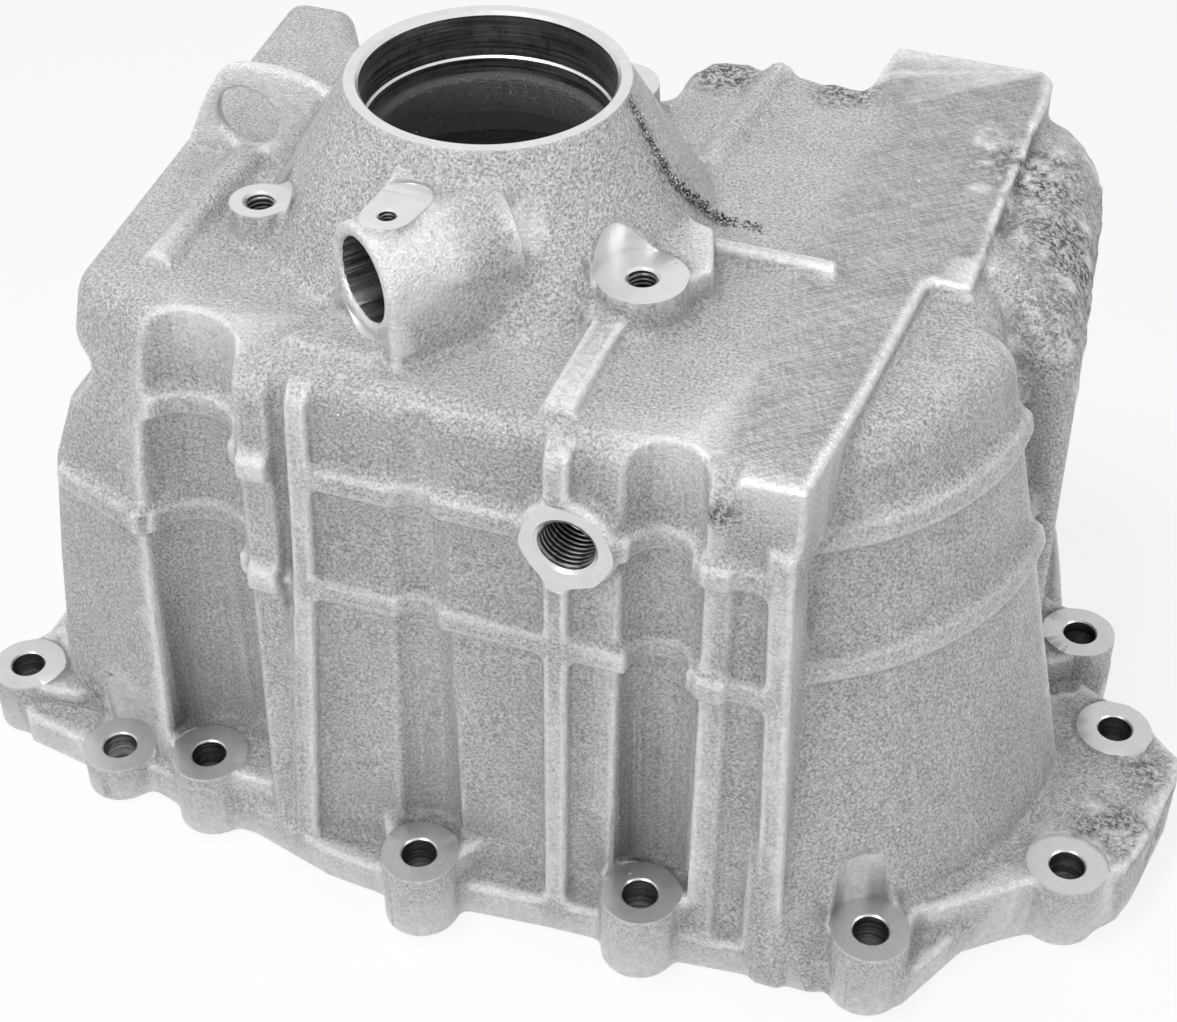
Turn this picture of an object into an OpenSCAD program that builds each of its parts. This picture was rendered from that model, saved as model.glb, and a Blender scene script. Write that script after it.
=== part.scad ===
/* [Case] */
// Height of the flat roof above the joint face
roof_z = 190; // [180:1:196]
// Distance of the front wall from the shaft axis, at the joint face
front_y = 104; // [101:0.5:107]
// Taper of the front and rear walls, in degrees
wall_draft = 1.8; // [1.2:0.1:2.4]
// Thickness of the cast walls
wall_t = 6.5; // [5:0.5:7.5]
// Thickness of the roof
roof_t = 7; // [5:0.5:9]
// Radius of the roof's rounded edge
edge_r = 8; // [5:0.5:9]

/* [Output tail] */
// Height of the machined rim
rim_z = 235; // [230:1:240]
// Radius of the rim
rim_r = 41.5; // [40:0.5:43]
// Diameter of the seal bore
seal_d = 74; // [70:0.5:76]
// Depth of the seal bore
seal_depth = 20; // [14:1:24]
// Diameter of the cast throat below the seal bore
throat_d = 67; // [62:0.5:69]
// Growth of the cone's radius for each millimetre down
cone_slope = 0.6; // [0.52:0.02:0.66]
// Radius of the fillet between cone and roof
cone_fillet = 5; // [3:0.5:7]

/* [Tail bosses] */
// Height of the three bosses' milled faces above the roof
boss_h = 11; // [8:0.5:13]
// Radius of the right boss and the rear boss
boss_r = 13; // [12:0.5:14]
// Radius of the slimmer left boss
left_boss_r = 9; // [8:0.5:11]
// Half the distance between the two front bosses
boss_x = 59.4; // [58:0.2:61]
// Distance of the two front bosses in front of the shaft axis
boss_y = 35.6; // [34:0.2:37]
// Diameter of the boss holes, for an M10 thread
boss_hole_d = 8.8; // [8:0.1:9.4]
// Depth of the boss holes
boss_hole_depth = 24; // [16:1:26]

/* [Speedometer port] */
// Diameter of the port's bore
port_d = 25; // [22:0.5:27]
// Radius of the port's rounded body
port_r = 16.8; // [16:0.2:18]
// Height of the port's axis
port_z = 210; // [208:0.5:212]
// Distance of the port's face from the shaft axis
port_face = 65; // [63:0.5:67]
// Distance of the port's axis from the shaft axis
port_offset = 39.3; // [38:0.1:41]
// Depth of the port's bore
port_depth = 26; // [20:1:28]
// Diameter of the passage from the bore to the shaft
passage_d = 18; // [16:1:20]
// Diameter of the retaining screw's hole, for an M6 thread
screw_d = 5.2; // [4.8:0.1:5.4]
// Depth of the retaining screw's hole
screw_depth = 12; // [8:1:14]

/* [Gear bulge] */
// Place of the bulge's axis to the right of the shaft axis
bulge_x = 85; // [82:0.5:88]
// Distance of the bulge's axis in front of the shaft axis
bulge_y = 5.5; // [3:0.5:8]
// Radius of the bulge at the joint face
bulge_r = 116; // [113:0.5:118]
// Loss of the bulge's radius for each millimetre up
bulge_taper = 0.215; // [0.19:0.005:0.23]
// Height of the bulge's domed top
bulge_top = 186; // [182:0.5:188]
// Diameter of the countershaft's bearing pocket, inside
pocket_d = 62; // [56:1:68]
// Depth of the bearing pocket
pocket_depth = 18; // [12:1:20]

/* [Belts] */
// Height of the lower belt's middle
belt_low = 117; // [112:1:122]
// Height of the upper belt's middle
belt_high = 158; // [156:1:161]
// Width of a belt at its foot
belt_w = 10; // [8:0.5:11]
// Height of a belt above the wall
belt_h = 3.6; // [2.5:0.1:4.5]

/* [Fill plug boss] */
// Diameter of the plug's hole, for an M18 thread
plug_d = 17; // [15:0.5:18]
// Radius of the plug boss
plug_r = 14.5; // [13:0.5:16]
// Height of the plug's axis
plug_z = 156.8; // [154:0.2:159]
// Place of the plug's axis to the right of the shaft axis
plug_x = 60.8; // [58:0.2:64]

/* [Flange] */
// Thickness of the flange between its lugs
rail_t = 12; // [10:0.5:14]
// Height of the lugs
lug_z = 26; // [22:0.5:28]
// Radius of a lug
lug_r = 12; // [11:0.5:13]
// Diameter of the flange holes, clearance for M10
hole_d = 11; // [10.5:0.1:11.5]
// Widening of a lug's foot on each side
lug_flare = 7; // [3:0.5:9]

/* [Lifting lug] */
// Thickness of the upright lug
eye_t = 4.5; // [4:0.5:7]
// Diameter of the lug's eye
eye_d = 20.5; // [18:0.5:22]

/* [Hidden] */

overlap = 1;
// Metal that the mill takes off a cast face.
skin = 1;
arc_steps = 4;
round_fn = 64;

// The forms start at their own levels below the joint face, which is milled flat at the end.
low_walls = -1;
low_panels = -1.3;
low_bulge = -1.6;
low_flange = -2;

// The shaft axis stands at the working origin. These reach to the sides of the joint face.
left_end = 157.5;
right_end = 233.5;
front_end = 126.8;
rear_end = 155;

// Height of the three bosses' milled faces above the joint face.
boss_z = roof_z + boss_h;

// Radius of the tail's cone at a height.
function cone_radius(z) = rim_r + cone_slope * (rim_z - z);

// Radius of the bulge's wall at a height.
function bulge_radius(z) = bulge_r - bulge_taper * z;

function unit(a) = [cos(a), sin(a)];

// A straight wall that leans inwards: its distance from the axis at the joint face and the roof.
function drafted(foot, draft) = [[0, foot], [roof_z, foot - roof_z * tan(draft)]];

// The walls of the case, anticlockwise from the front: direction of the outward normal,
// distances of the wall from the shaft axis by height, and radius of the corner to the next wall.
left_profile = [[0, 138], [77, 130.5], [117, 125.5], [145, 115], [roof_z, 107.5]];
corner_angle = -111.3;
corner_profile = [[0, 121.5], [77, 117.8], [117, 115.5], [145, 112.6], [roof_z, 105.3]];
walls = [
    [-90, drafted(front_y, wall_draft), 6],
    [0, drafted(128, wall_draft), 6],
    [84.6, drafted(123.4, wall_draft), 14],
    [180, drafted(-24, wall_draft), 8],
    [90, drafted(86, wall_draft), 10],
    [30.6, drafted(-21, wall_draft), 6],
    [90, drafted(109, wall_draft), 6],
    [184, left_profile, 12],
    [corner_angle, corner_profile, 5]
];

// The rough body behind the bulge, in the same form.
rear_walls = [
    [-90, drafted(-6, 0), 5],
    [5.6, drafted(181.5, 0.5), 38],
    [90, drafted(139, 0.8), 5],
    [180, drafted(-100, 0), 2]
];

// Meeting point of two wall lines, given by their normals and distances.
function meet(a, da, b, db) =
    [da * sin(b) - db * sin(a), db * cos(a) - da * cos(b)] / sin(b - a);

// Turn between two normals, from -180 to 180 degrees.
function turn(a, b) = let (t = b - a) t > 180 ? t - 360 : t < -180 ? t + 360 : t;

// How far a rounded top edge draws a wall in at a height.
function edge_inset(z, top, r) = z <= top - r ? 0 : r - sqrt(max(0, r * r - pow(z - top + r, 2)));

// Rounded outline through the meeting points of walls, with every wall moved out by grow.
function ring(rows, distances, grow) =
    let (n = len(rows))
    [for (i = [0:n - 1])
        let (k = (i + 1) % n, a = rows[i][0], b = rows[k][0], t = turn(a, b), s = sign(t))
        let (r = max(2.5, rows[i][2] + s * grow))
        let (c = meet(a, distances[i] + grow - s * r, b, distances[k] + grow - s * r))
        for (j = [0:arc_steps]) c + s * r * unit(a + t * j / arc_steps)];

function outer_ring(rows, z, top, r) =
    ring(rows, [for (w = rows) lookup(z, w[1])], -edge_inset(z, top, r));

// Outline of the hollow: straight walls from the joint face up, one wall thickness inside.
function core_ring(rows, z, top, grow) =
    ring(rows, [for (w = rows) let (t = z / top) (1 - t) * lookup(0, w[1]) + t * lookup(top, w[1])],
        grow - wall_t);

// Closed solid through outlines with equal numbers of points, one at each height.
module loft(rings, heights) {
    n = len(rings[0]);
    m = len(rings);
    points = [for (j = [0:m - 1]) for (p = rings[j]) [p.x, p.y, heights[j]]];
    bottom = [for (i = [0:n - 1]) i];
    top = [for (i = [n - 1:-1:0]) (m - 1) * n + i];
    sides = [for (j = [0:m - 2]) for (i = [0:n - 1])
        let (k = (i + 1) % n, a = j * n, b = a + n)
        each [[a + i, b + i, b + k], [a + i, b + k, a + k]]];
    polyhedron(points = points, faces = concat([bottom, top], sides));
}

// Heights at which a wall under a rounded top edge changes slope.
function levels(low, top, r) = concat(low, [for (a = [0:22.5:90]) top - r + r * sin(a)]);

// Outlines at the given heights, run on below the joint face and trimmed flat at the last height.
module trimmed_loft(rings, heights) {
    last = len(rings) - 1;
    top = heights[last];
    intersection() {
        loft(concat([rings[0]], rings, [rings[last]]), concat(2 * low_walls, heights, top + overlap));
        translate([-2 * left_end, -2 * front_end, low_walls])
            cube([4 * right_end, 4 * rear_end, top - low_walls]);
    }
}

module walled_form(rows, low, top, r) {
    heights = levels(low, top, r);
    trimmed_loft([for (z = heights) outer_ring(rows, z, top, r)], heights);
}

// Upright plate with the outline given in x and z. It starts at front and is depth thick.
module upright(outline, front, depth) {
    translate([0, front + depth, 0]) rotate([90, 0, 0]) linear_extrude(depth) polygon(outline);
}

// Points of a wall's section with the flat ridges of the belts, outermost at the joint face.
function belt_points(at, middle) =
    [[at(middle - belt_w / 2), middle - belt_w / 2],
        [at(middle - belt_w / 3) + belt_h, middle - belt_w / 3],
        [at(middle + belt_w / 3) + belt_h, middle + belt_w / 3],
        [at(middle + belt_w / 2), middle + belt_w / 2]];

// A stretch of straight wall with its belts and rounded top edge, drawn out along x from x0 to x1.
// The wall faces front, at the distances in profile and proud of them by extra.
slab_depth = 16;
slab_toe = 4;
slab_top = roof_z - 0.5;
module wall_slab(profile, x0, x1, extra, belts) {
    at = function(z) lookup(z, profile) + extra;
    section = concat(
        [[at(0), low_panels]],
        [for (b = belts) each belt_points(at, b)],
        [for (a = [0:22.5:90]) let (z = slab_top - edge_r + edge_r * sin(a))
            [at(z) - edge_inset(z, slab_top, edge_r), z]],
        [[at(slab_top) - slab_depth, slab_top], [at(0) - slab_depth - slab_toe, low_panels]]);
    translate([x1, 0, 0]) rotate([90, 0, -90]) linear_extrude(x1 - x0) polygon(section);
}

// A belt along a straight wall from x0 to x1, with its foot sunk into the wall.
module belt_bar(profile, x0, x1, middle) {
    p = belt_points(function(z) lookup(z, profile), middle);
    sunk = 0.8;
    translate([x1, 0, 0]) rotate([90, 0, -90]) linear_extrude(x1 - x0)
        polygon([p[0] + sunk * (p[0] - p[1]), p[1], p[2], p[3] + sunk * (p[3] - p[2])]);
}

// The front wall: the main panel's belts, and the left panel, ribs and column proud of it.
proud = 4.5;
panel_proud = 2.5;
front_profile = drafted(front_y, wall_draft);
belts = [belt_low, belt_high];
panel_left = -38.5;
module front_wall() {
    for (b = belts) belt_bar(front_profile, -20, 119, b);
    wall_slab(front_profile, panel_left, -29, panel_proud, belts);
    intersection() {
        wall_slab(front_profile, -34, 134, proud, []);
        union() {
            front = -front_end;
            reach = 50;
            low = low_flange;
            upright([[-22, roof_z], [-15.5, roof_z], [-17, 130], [-24.5, low], [-31, low], [-23.5, 130]],
                front, reach);
            upright([[53.7, roof_z], [61, roof_z], [61, low], [54.3, low]], front, reach);
            upright([[117.5, 170], [124.5, 170], [131, low], [123, low]], front, reach);
        }
    }
    wall_slab(front_profile, 99.5, 107.5, panel_proud, belts);
}

// The diagonal wall at the left front corner carries the lower belt.
module corner_wall() {
    rotate([0, 0, corner_angle + 90]) belt_bar(corner_profile, -77, -40, belt_low);
}

// Round channels down the wall, which clear the bolts, with the belts carried across them.
module channel(place, r) {
    at = function(z) -r;
    top = roof_z + 5 * overlap;
    translate([place.x, place.y, 0]) rotate_extrude($fn = round_fn)
        polygon(concat(
            [[0, lug_z - skin], [r, lug_z - skin]],
            [for (b = belts) each [for (p = belt_points(at, b)) [-p.x, p.y]]],
            [[r, top], [0, top]]));
}

// Channel axes and radii, from left to right.
channels = [[[-60, -98.5], 20], [[15, -107.5], 11.5], [[87.2, -102], 12.5]];

// Undercut below the roof's left edge.
module left_notch() {
    upright([[-140, 172], [-104.5, 168], [-97, 163], [-98.5, 157], [-107.5, 144.5], [-140, 128]], -110, 65);
}

// The tapered bulge with its belts and domed shoulder.
module bulge_form(inset) {
    shoulder = 14;
    at = function(z) bulge_radius(z) - inset;
    crown_z = bulge_top - shoulder;
    rotate_extrude($fn = 2 * round_fn) polygon(concat(
        [[0, low_bulge], [at(0), low_bulge]],
        [for (b = belts) each belt_points(at, b)],
        [for (a = [0:15:75]) [at(crown_z) - shoulder * (1 - cos(a)), crown_z + shoulder * sin(a)]],
        [[at(crown_z) - 2.2 * shoulder, bulge_top], [0, bulge_top]]));
}

// It starts at the right of the front wall. Its collar ends in a step, behind which the wall lies deeper.
bulge_left = 118;
collar_end = -7;
collar_step = 5;
module bulge() {
    reach = bulge_r + 10;
    front_cut = front_y + 2.4;
    lap = 10;
    behind = 20;
    intersection() {
        translate([bulge_x, -bulge_y, 0]) bulge_form(0);
        translate([bulge_left, -front_cut, low_flange]) cube([reach, front_cut + collar_end, roof_z]);
    }
    intersection() {
        translate([bulge_x, -bulge_y, 0]) bulge_form(collar_step);
        translate([bulge_left - 4, collar_end - lap, low_flange])
            cube([reach, behind - collar_end + lap, roof_z]);
    }
}

// The rough body at the rear right corner.
rear_round = 22;
module rear_body() {
    walled_form(rear_walls, [0], bulge_top - 1, rear_round);
}

// The sanded platform, flush with the roof.
platform_z = roof_z + 0.4;
module platform() {
    outline = [[107, -100.5], [125.6, -100], [129.9, -51], [133.3, 5.3], [145.7, 5], [145.4, 52],
        [146.7, 119], [146, 131], [142, 136.5], [92.7, 136.5], [90, 107], [98, 80], [100, 0]];
    depth = 30;
    translate([0, 0, platform_z - depth]) linear_extrude(depth) polygon(outline);
}

// The conical tail up to the rim, with a fillet on the roof.
module tail() {
    lean = atan(cone_slope);
    f = cone_fillet;
    centre = [cone_radius(roof_z) - cone_slope * f + f / cos(lean), roof_z + f - 0.4];
    rim_bevel = 1.5;
    root = roof_z - 5;
    rotate_extrude($fn = 2 * round_fn) polygon(concat(
        [[0, root], [centre.x, root]],
        [for (a = [270:-15:180 + lean]) centre + f * unit(a)],
        [[cone_radius(rim_z - rim_bevel), rim_z - rim_bevel], [rim_r - 0.6, rim_z], [0, rim_z]]));
}

// Places and radii of the three tail bosses: left, right and rear.
bosses = [[[-boss_x, -boss_y], left_boss_r], [[boss_x, -boss_y], boss_r], [[18, 65], boss_r]];
module tail_bosses() {
    foot = 4;
    for (b = bosses) translate([b[0].x, b[0].y, roof_z - foot])
        cylinder(r1 = b[1] + 0.8, r2 = b[1], h = boss_z - roof_z + foot + skin, $fn = round_fn);
}

// Gusset between the right boss and the cone.
module boss_gusset() {
    sunk = 3;
    below_face = 0.6;
    translate([0, 0, roof_z - sunk]) linear_extrude(boss_z - roof_z + sunk - below_face)
        polygon([[35, 10], [44.7, 4], [70.7, -3.6], [77, -24], [70, -boss_y], [55, -40], [40, -30]]);
}

port_angle = 232.3;
module in_port_frame() {
    rotate([0, 0, port_angle]) translate([0, port_offset, port_z]) children();
}

// The port's round body with straight sides, and the tongue of its retaining screw.
screw_place = [-3.2, -67.4];
screw_z = 227.5;
tongue_r = 7.2;
module port() {
    back = 22;
    sunk = 3;
    foot = port_z - roof_z + sunk;
    lean = 1;
    in_port_frame() {
        rotate([0, 90, 0]) translate([0, 0, back]) cylinder(r = port_r, h = port_face - back, $fn = round_fn);
        translate([back, 0, 0]) rotate([90, 0, 90]) linear_extrude(port_face - back)
            polygon([[port_r - 0.3, 0], [0.3 - port_r, 0], [-port_r - lean, -foot], [port_r + lean, -foot]]);
    }
    translate([0, 0, port_z]) tongue(screw_z - port_z + skin, tongue_r);
    pad_h = 2;
    translate([0, 0, roof_z - sunk]) linear_extrude(sunk + pad_h)
        polygon([[-29.4, -83], [-17.8, -66], [4, -80], [1.9, -83.5], [-14.8, -86.5]]);
}

// A bar with a round front end, from the screw back into the cone.
module tongue(h, r) {
    length = 22;
    translate([screw_place.x, screw_place.y, 0]) {
        cylinder(r = r, h = h, $fn = 48);
        translate([-r, 0, 0]) cube([2 * r, length, h]);
    }
}

// The upright lug on the left with its eye.
eye_y = 3;
eye_place = [-81, 204];
module lifting_lug() {
    upright([[-45, roof_z - 3], [-46, 214], [-49.6, 217], [-62.5, 221.4], [-72, 222.6], [-80.7, 222.4],
        [-86, 220.8], [-89.2, 218.4], [-93.5, 212], [-97, 205], [-104, 189], [-104, roof_z - 8]],
        eye_y - eye_t / 2, eye_t);
}

// Round rib along the roof's left edge, thick behind and thin in front.
module edge_rib() {
    x = -81;
    z = 189;
    thick = 6.3;
    thick_length = 37;
    thin = 5;
    thin_length = 28;
    translate([x, eye_y, z]) rotate([90, 0, 0]) cylinder(r = thick, h = thick_length, $fn = 48);
    translate([x, eye_y - thick_length + overlap, z + 0.5]) rotate([90, 0, 0])
        cylinder(r = thin, h = thin_length + overlap, $fn = 48);
}

// The ribs on the roof.
module roof_ribs() {
    rib_h = 4;
    sunk = 3;
    from_edge = 14;
    translate([49.5, from_edge - front_y, roof_z - sunk])
        cube([9, front_y - from_edge - boss_y, rib_h + sunk]);
    translate([66, -3.7, roof_z - sunk]) cube([41, 5, rib_h + sunk]);
    round_r = 5;
    translate([54.5, 42, roof_z + rib_h - round_r]) rotate([-90, 0, -5])
        cylinder(r = round_r, h = 66, $fn = 48);
}

// Fill plug boss on the front wall.
plug_face = -104;
plug_depth = 40;
module plug_boss() {
    flare = 2.4;
    length = 14;
    translate([plug_x, plug_face, plug_z]) rotate([-90, 0, 0])
        cylinder(r1 = plug_r, r2 = plug_r + flare, h = length, $fn = round_fn);
}

// Axes and heights of the flange lugs, from the front left corner to the right, then the rear ones,
// with the direction in which each stands off the wall.
lugs = [
    [-145.5, -77.5, 21, 215], [-101.5, -95.4, 14, 250], [-65.4, -98.6, lug_z, 260],
    [15.5, lug_r - front_end, lug_z, 270], [85.5, -107.3, lug_z, 270], [155.5, -97.6, lug_z, 290],
    [206.6, -51, 24.5, 320], [210.8, 11.2, lug_z, 0], [191.8, 53, lug_z, 10],
    [155.5, rear_end - lug_r, lug_z, 60], [85.5, 123, lug_z, 90], [15.5, 104, lug_z, 90],
    [-65.4, 104, lug_z, 90], [-101.5, 116, lug_z, 90], [-145.5, 106, 21, 135]
];

// A lug: a round end on a foot that widens towards the wall behind it.
foot_drop = 0.5;
module lug(p) {
    root = 15;
    tip = 3;
    translate([p.x, p.y, low_flange]) {
        cylinder(r = lug_r, h = p.z - low_flange + skin, $fn = round_fn);
        rotate([0, 0, p[3]]) linear_extrude(p.z - low_flange - foot_drop)
            polygon([[tip, tip - lug_r], [tip, lug_r - tip], [-root, lug_r + lug_flare],
                [-root, -lug_r - lug_flare]]);
    }
}

// The flange runs around the foot of the walls, and the heavy block carries two lugs at the right.
module flange() {
    rail = [
        [-153, -72], [-139, -92], [-114, -96.5], [-86, -99.4], [-71, -104], [-47.7, -104.6], [-17.9, -112.9],
        [1.6, -114.5], [37.3, -111], [56.7, -109.2], [73.8, -108.5], [100.6, -108.5], [119.6, -106.5],
        [143, -104.5], [168, -101.7], [180.8, -75.6], [191.6, -66.8], [205, -50], [204, 59], [186, 66],
        [178, 102], [173, 122], [160, 139], [148, 148], [92, 147], [86, 126], [34, 128], [20, 105],
        [-76, 103], [-88, 116], [-146, 116], [-155, 100]
    ];
    block = [
        [170, -84], [180.8, -75.6], [191.6, -66.8], [201.2, -60], [210.6, -58.6], [216.4, -55.9],
        [224.3, -46.7], [227.5, -37], [233.3, -3.5], [right_end, 5], [220.5, 16.1], [213.8, 23.5],
        [205.5, 23.5], [190, 24]
    ];
    translate([0, 0, low_flange]) {
        linear_extrude(rail_t - low_flange) polygon(rail);
        linear_extrude(lug_z - low_flange - foot_drop) polygon(block);
    }
    for (p = lugs) lug(p);
}

// Hollow inside of the case, with metal left around the lugs, channels and plug.
core_z = roof_z - roof_t;
module main_hollow() {
    heights = [0, core_z - 8, core_z];
    draw_in = [0, 0, -5];
    low = -2 * overlap;
    lug_post_z = 60;
    plug_post = [plug_r + 5, 18];
    outside = 10;
    difference() {
        trimmed_loft([for (i = [0:2]) core_ring(walls, heights[i], core_z, draw_in[i])], heights);
        for (p = lugs) translate([p.x, p.y, low])
            cylinder(r = lug_r + wall_t - 2, h = lug_post_z - low, $fn = round_fn);
        for (c = channels) translate([c[0].x, c[0].y, low])
            cylinder(r = c[1] + wall_t - 1, h = roof_z, $fn = round_fn);
        translate([plug_x, plug_face - outside, plug_z]) rotate([-90, 0, 0])
            cylinder(r = plug_post[0], h = plug_post[1] + outside, $fn = round_fn);
    }
}

module side_hollow() {
    r = bulge_r - wall_t - collar_step;
    top = bulge_top - roof_t;
    draw = 4;
    from = 100;
    behind = 14;
    intersection() {
        translate([bulge_x, -bulge_y, -overlap])
            cylinder(r1 = r, r2 = r - bulge_taper * top - draw, h = top + overlap, $fn = 2 * round_fn);
        translate([from, wall_t + draw - front_y, -2 * overlap])
            cube([bulge_r, behind - wall_t - draw + front_y, roof_z]);
    }
    heights = [0, top - 21, top - 1];
    draw_in = [0, 0, -12];
    trimmed_loft([for (i = [0:2]) core_ring(rear_walls, heights[i], top, draw_in[i])], heights);
}

module tail_hollow() {
    neck = 42;
    neck_z = 203;
    below = 20;
    skirt = cone_radius(roof_z) - 11;
    rotate_extrude($fn = 2 * round_fn) polygon([
        [0, core_z - below], [skirt, core_z - below], [skirt, core_z - 2], [neck, neck_z], [0, neck_z]
    ]);
}

// Inner boss that carries the countershaft's bearing, stayed by four webs.
pocket_floor = 12;
pocket_z = core_z - pocket_depth - pocket_floor;
module pocket_boss() {
    rim = 6;
    draw = 2;
    web = [45, 6];
    web_low = 12;
    translate([bulge_x, -bulge_y, pocket_z])
        cylinder(r1 = pocket_d / 2 + rim, r2 = pocket_d / 2 + rim + draw, h = core_z - pocket_z + 2 * overlap,
            $fn = 2 * round_fn);
    for (a = [60, 130, 235, 300]) translate([bulge_x, -bulge_y, pocket_z + web_low]) rotate([0, 0, a])
        translate([pocket_d / 2 + 2, -web.y / 2, 0])
            cube([web.x, web.y, core_z - pocket_z - web_low + 2 * overlap]);
}

// Metal below the roof round each tail boss's hole, so that the holes stay blind.
module boss_roots() {
    bottom = 5;
    side = 3;
    draw = 2;
    root_z = boss_z - boss_hole_depth - bottom;
    for (b = bosses) translate([b[0].x, b[0].y, root_z])
        cylinder(r1 = boss_hole_d / 2 + side, r2 = boss_hole_d / 2 + side + draw, h = roof_z - root_z,
            $fn = round_fn);
}

module pocket() {
    translate([bulge_x, -bulge_y, pocket_z - overlap])
        cylinder(d = pocket_d, h = pocket_depth + overlap, $fn = 2 * round_fn);
}

// A drilled hole with its mouth at the working origin and its bottom below it.
module hole(d, depth) {
    translate([0, 0, -depth]) cylinder(d = d, h = depth + overlap, $fn = 48);
}

// Holes and milled faces.
module machining() {
    face_cut = 10;
    spot_cut = 24;
    spot_gap = 0.6;
    passage_end = 5;
    translate([-2 * left_end, -2 * front_end, -face_cut]) cube([4 * right_end, 4 * rear_end, face_cut]);
    translate([0, 0, rim_z - seal_depth]) cylinder(d = seal_d, h = seal_depth + overlap, $fn = 2 * round_fn);
    translate([0, 0, roof_z]) cylinder(d = throat_d, h = rim_z - roof_z - 1, $fn = 2 * round_fn);
    for (b = bosses) translate([b[0].x, b[0].y, boss_z]) {
        hole(boss_hole_d, boss_hole_depth);
        cylinder(r = b[1] + 1, h = spot_cut, $fn = round_fn);
    }
    in_port_frame() rotate([0, 90, 0]) translate([0, 0, port_face]) {
        hole(port_d, port_depth);
        hole(passage_d, port_face - passage_end);
    }
    translate([screw_place.x, screw_place.y, screw_z]) hole(screw_d, screw_depth);
    translate([0, 0, screw_z]) tongue(spot_cut, tongue_r + spot_gap);
    translate([plug_x, plug_face, plug_z]) rotate([90, 0, 0]) hole(plug_d, plug_depth);
    translate([eye_place.x, eye_y - eye_t, eye_place.y]) rotate([90, 0, 0]) hole(eye_d, 2 * eye_t);
    for (p = lugs) translate([p.x, p.y, p.z]) {
        hole(hole_d, p.z + overlap);
        cylinder(r = lug_r + spot_gap, h = spot_cut, $fn = round_fn);
    }
}

module casting() {
    difference() {
        union() {
            difference() {
                union() {
                    walled_form(walls, [0, 77, 117, 145], roof_z, edge_r);
                    front_wall();
                    corner_wall();
                }
                for (c = channels) channel(c[0], c[1]);
                left_notch();
            }
            bulge();
            rear_body();
            platform();
            tail();
            flange();
            lifting_lug();
            edge_rib();
            roof_ribs();
            plug_boss();
            tail_bosses();
            boss_gusset();
            port();
        }
        difference() {
            union() {
                main_hollow();
                side_hollow();
                tail_hollow();
            }
            pocket_boss();
            boss_roots();
        }
        pocket();
        machining();
    }
}

module housing() {
    color([0.72, 0.72, 0.71])
        translate([(left_end - right_end) / 2, (front_end - rear_end) / 2, 0]) casting();
}

housing();
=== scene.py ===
"""Look of a die-cast aluminium gearbox housing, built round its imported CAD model.

The casting's surface starts from the CAD node. A level set fills its inner corners and rounds its edges as a
mould does, and grows the rough patches of a worn die. The milled, bored and drilled faces are then cut crisp
out of that surface by the tools of the machining, each with the finish that it leaves. Threads follow their
holes by Geometry Nodes. Lengths in the tables are in millimetres and the scene is in metres.
"""

import logging
import math
from collections.abc import Iterable, Sequence
from dataclasses import dataclass, field
from enum import Enum

import bpy
import numpy as np
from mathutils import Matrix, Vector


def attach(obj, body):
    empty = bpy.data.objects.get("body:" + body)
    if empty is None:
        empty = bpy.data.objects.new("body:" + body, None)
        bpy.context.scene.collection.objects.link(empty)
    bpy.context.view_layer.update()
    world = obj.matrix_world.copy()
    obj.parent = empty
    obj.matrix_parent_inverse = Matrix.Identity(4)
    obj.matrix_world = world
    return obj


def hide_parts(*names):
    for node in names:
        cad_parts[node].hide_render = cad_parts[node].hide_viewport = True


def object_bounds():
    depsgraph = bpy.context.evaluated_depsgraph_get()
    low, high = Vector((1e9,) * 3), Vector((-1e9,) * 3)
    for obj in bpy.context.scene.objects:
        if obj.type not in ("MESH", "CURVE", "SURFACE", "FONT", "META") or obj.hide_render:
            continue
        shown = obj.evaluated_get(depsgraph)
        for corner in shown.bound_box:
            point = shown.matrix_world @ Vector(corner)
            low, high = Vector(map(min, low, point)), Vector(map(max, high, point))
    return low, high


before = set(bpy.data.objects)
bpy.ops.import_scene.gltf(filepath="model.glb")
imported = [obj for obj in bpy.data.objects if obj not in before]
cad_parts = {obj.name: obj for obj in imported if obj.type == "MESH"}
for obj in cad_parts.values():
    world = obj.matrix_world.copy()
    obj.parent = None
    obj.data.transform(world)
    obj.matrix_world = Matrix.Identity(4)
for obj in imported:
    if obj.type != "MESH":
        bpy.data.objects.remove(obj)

import openvdb
from mathutils import Matrix, Vector
from mathutils.geometry import tessellate_polygon

LOG = logging.getLogger("housing")
CAD_BOX = [list(corner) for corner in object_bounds()]
MM = 0.001
NODE = "housing"
BODY = "root"

# The output shaft's axis in the row frame. Places in the tables are measured from it.
SHAFT = np.array([-38.0, -14.1, 0.0])
ROOF = 190.0
RIM = 235.0
SEAL_END = 215.0
BOSS_FACE = 201.0
# Width in millimetres round an added form in which the level set changes.
BAND = 4.0

Vec3 = tuple[float, float, float]
Colour = tuple[float, float, float, float]
# A cutter: its points in millimetres from the shaft axis, its triangles and the finish that each one leaves.
Tool = tuple[np.ndarray, np.ndarray, np.ndarray]


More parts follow.
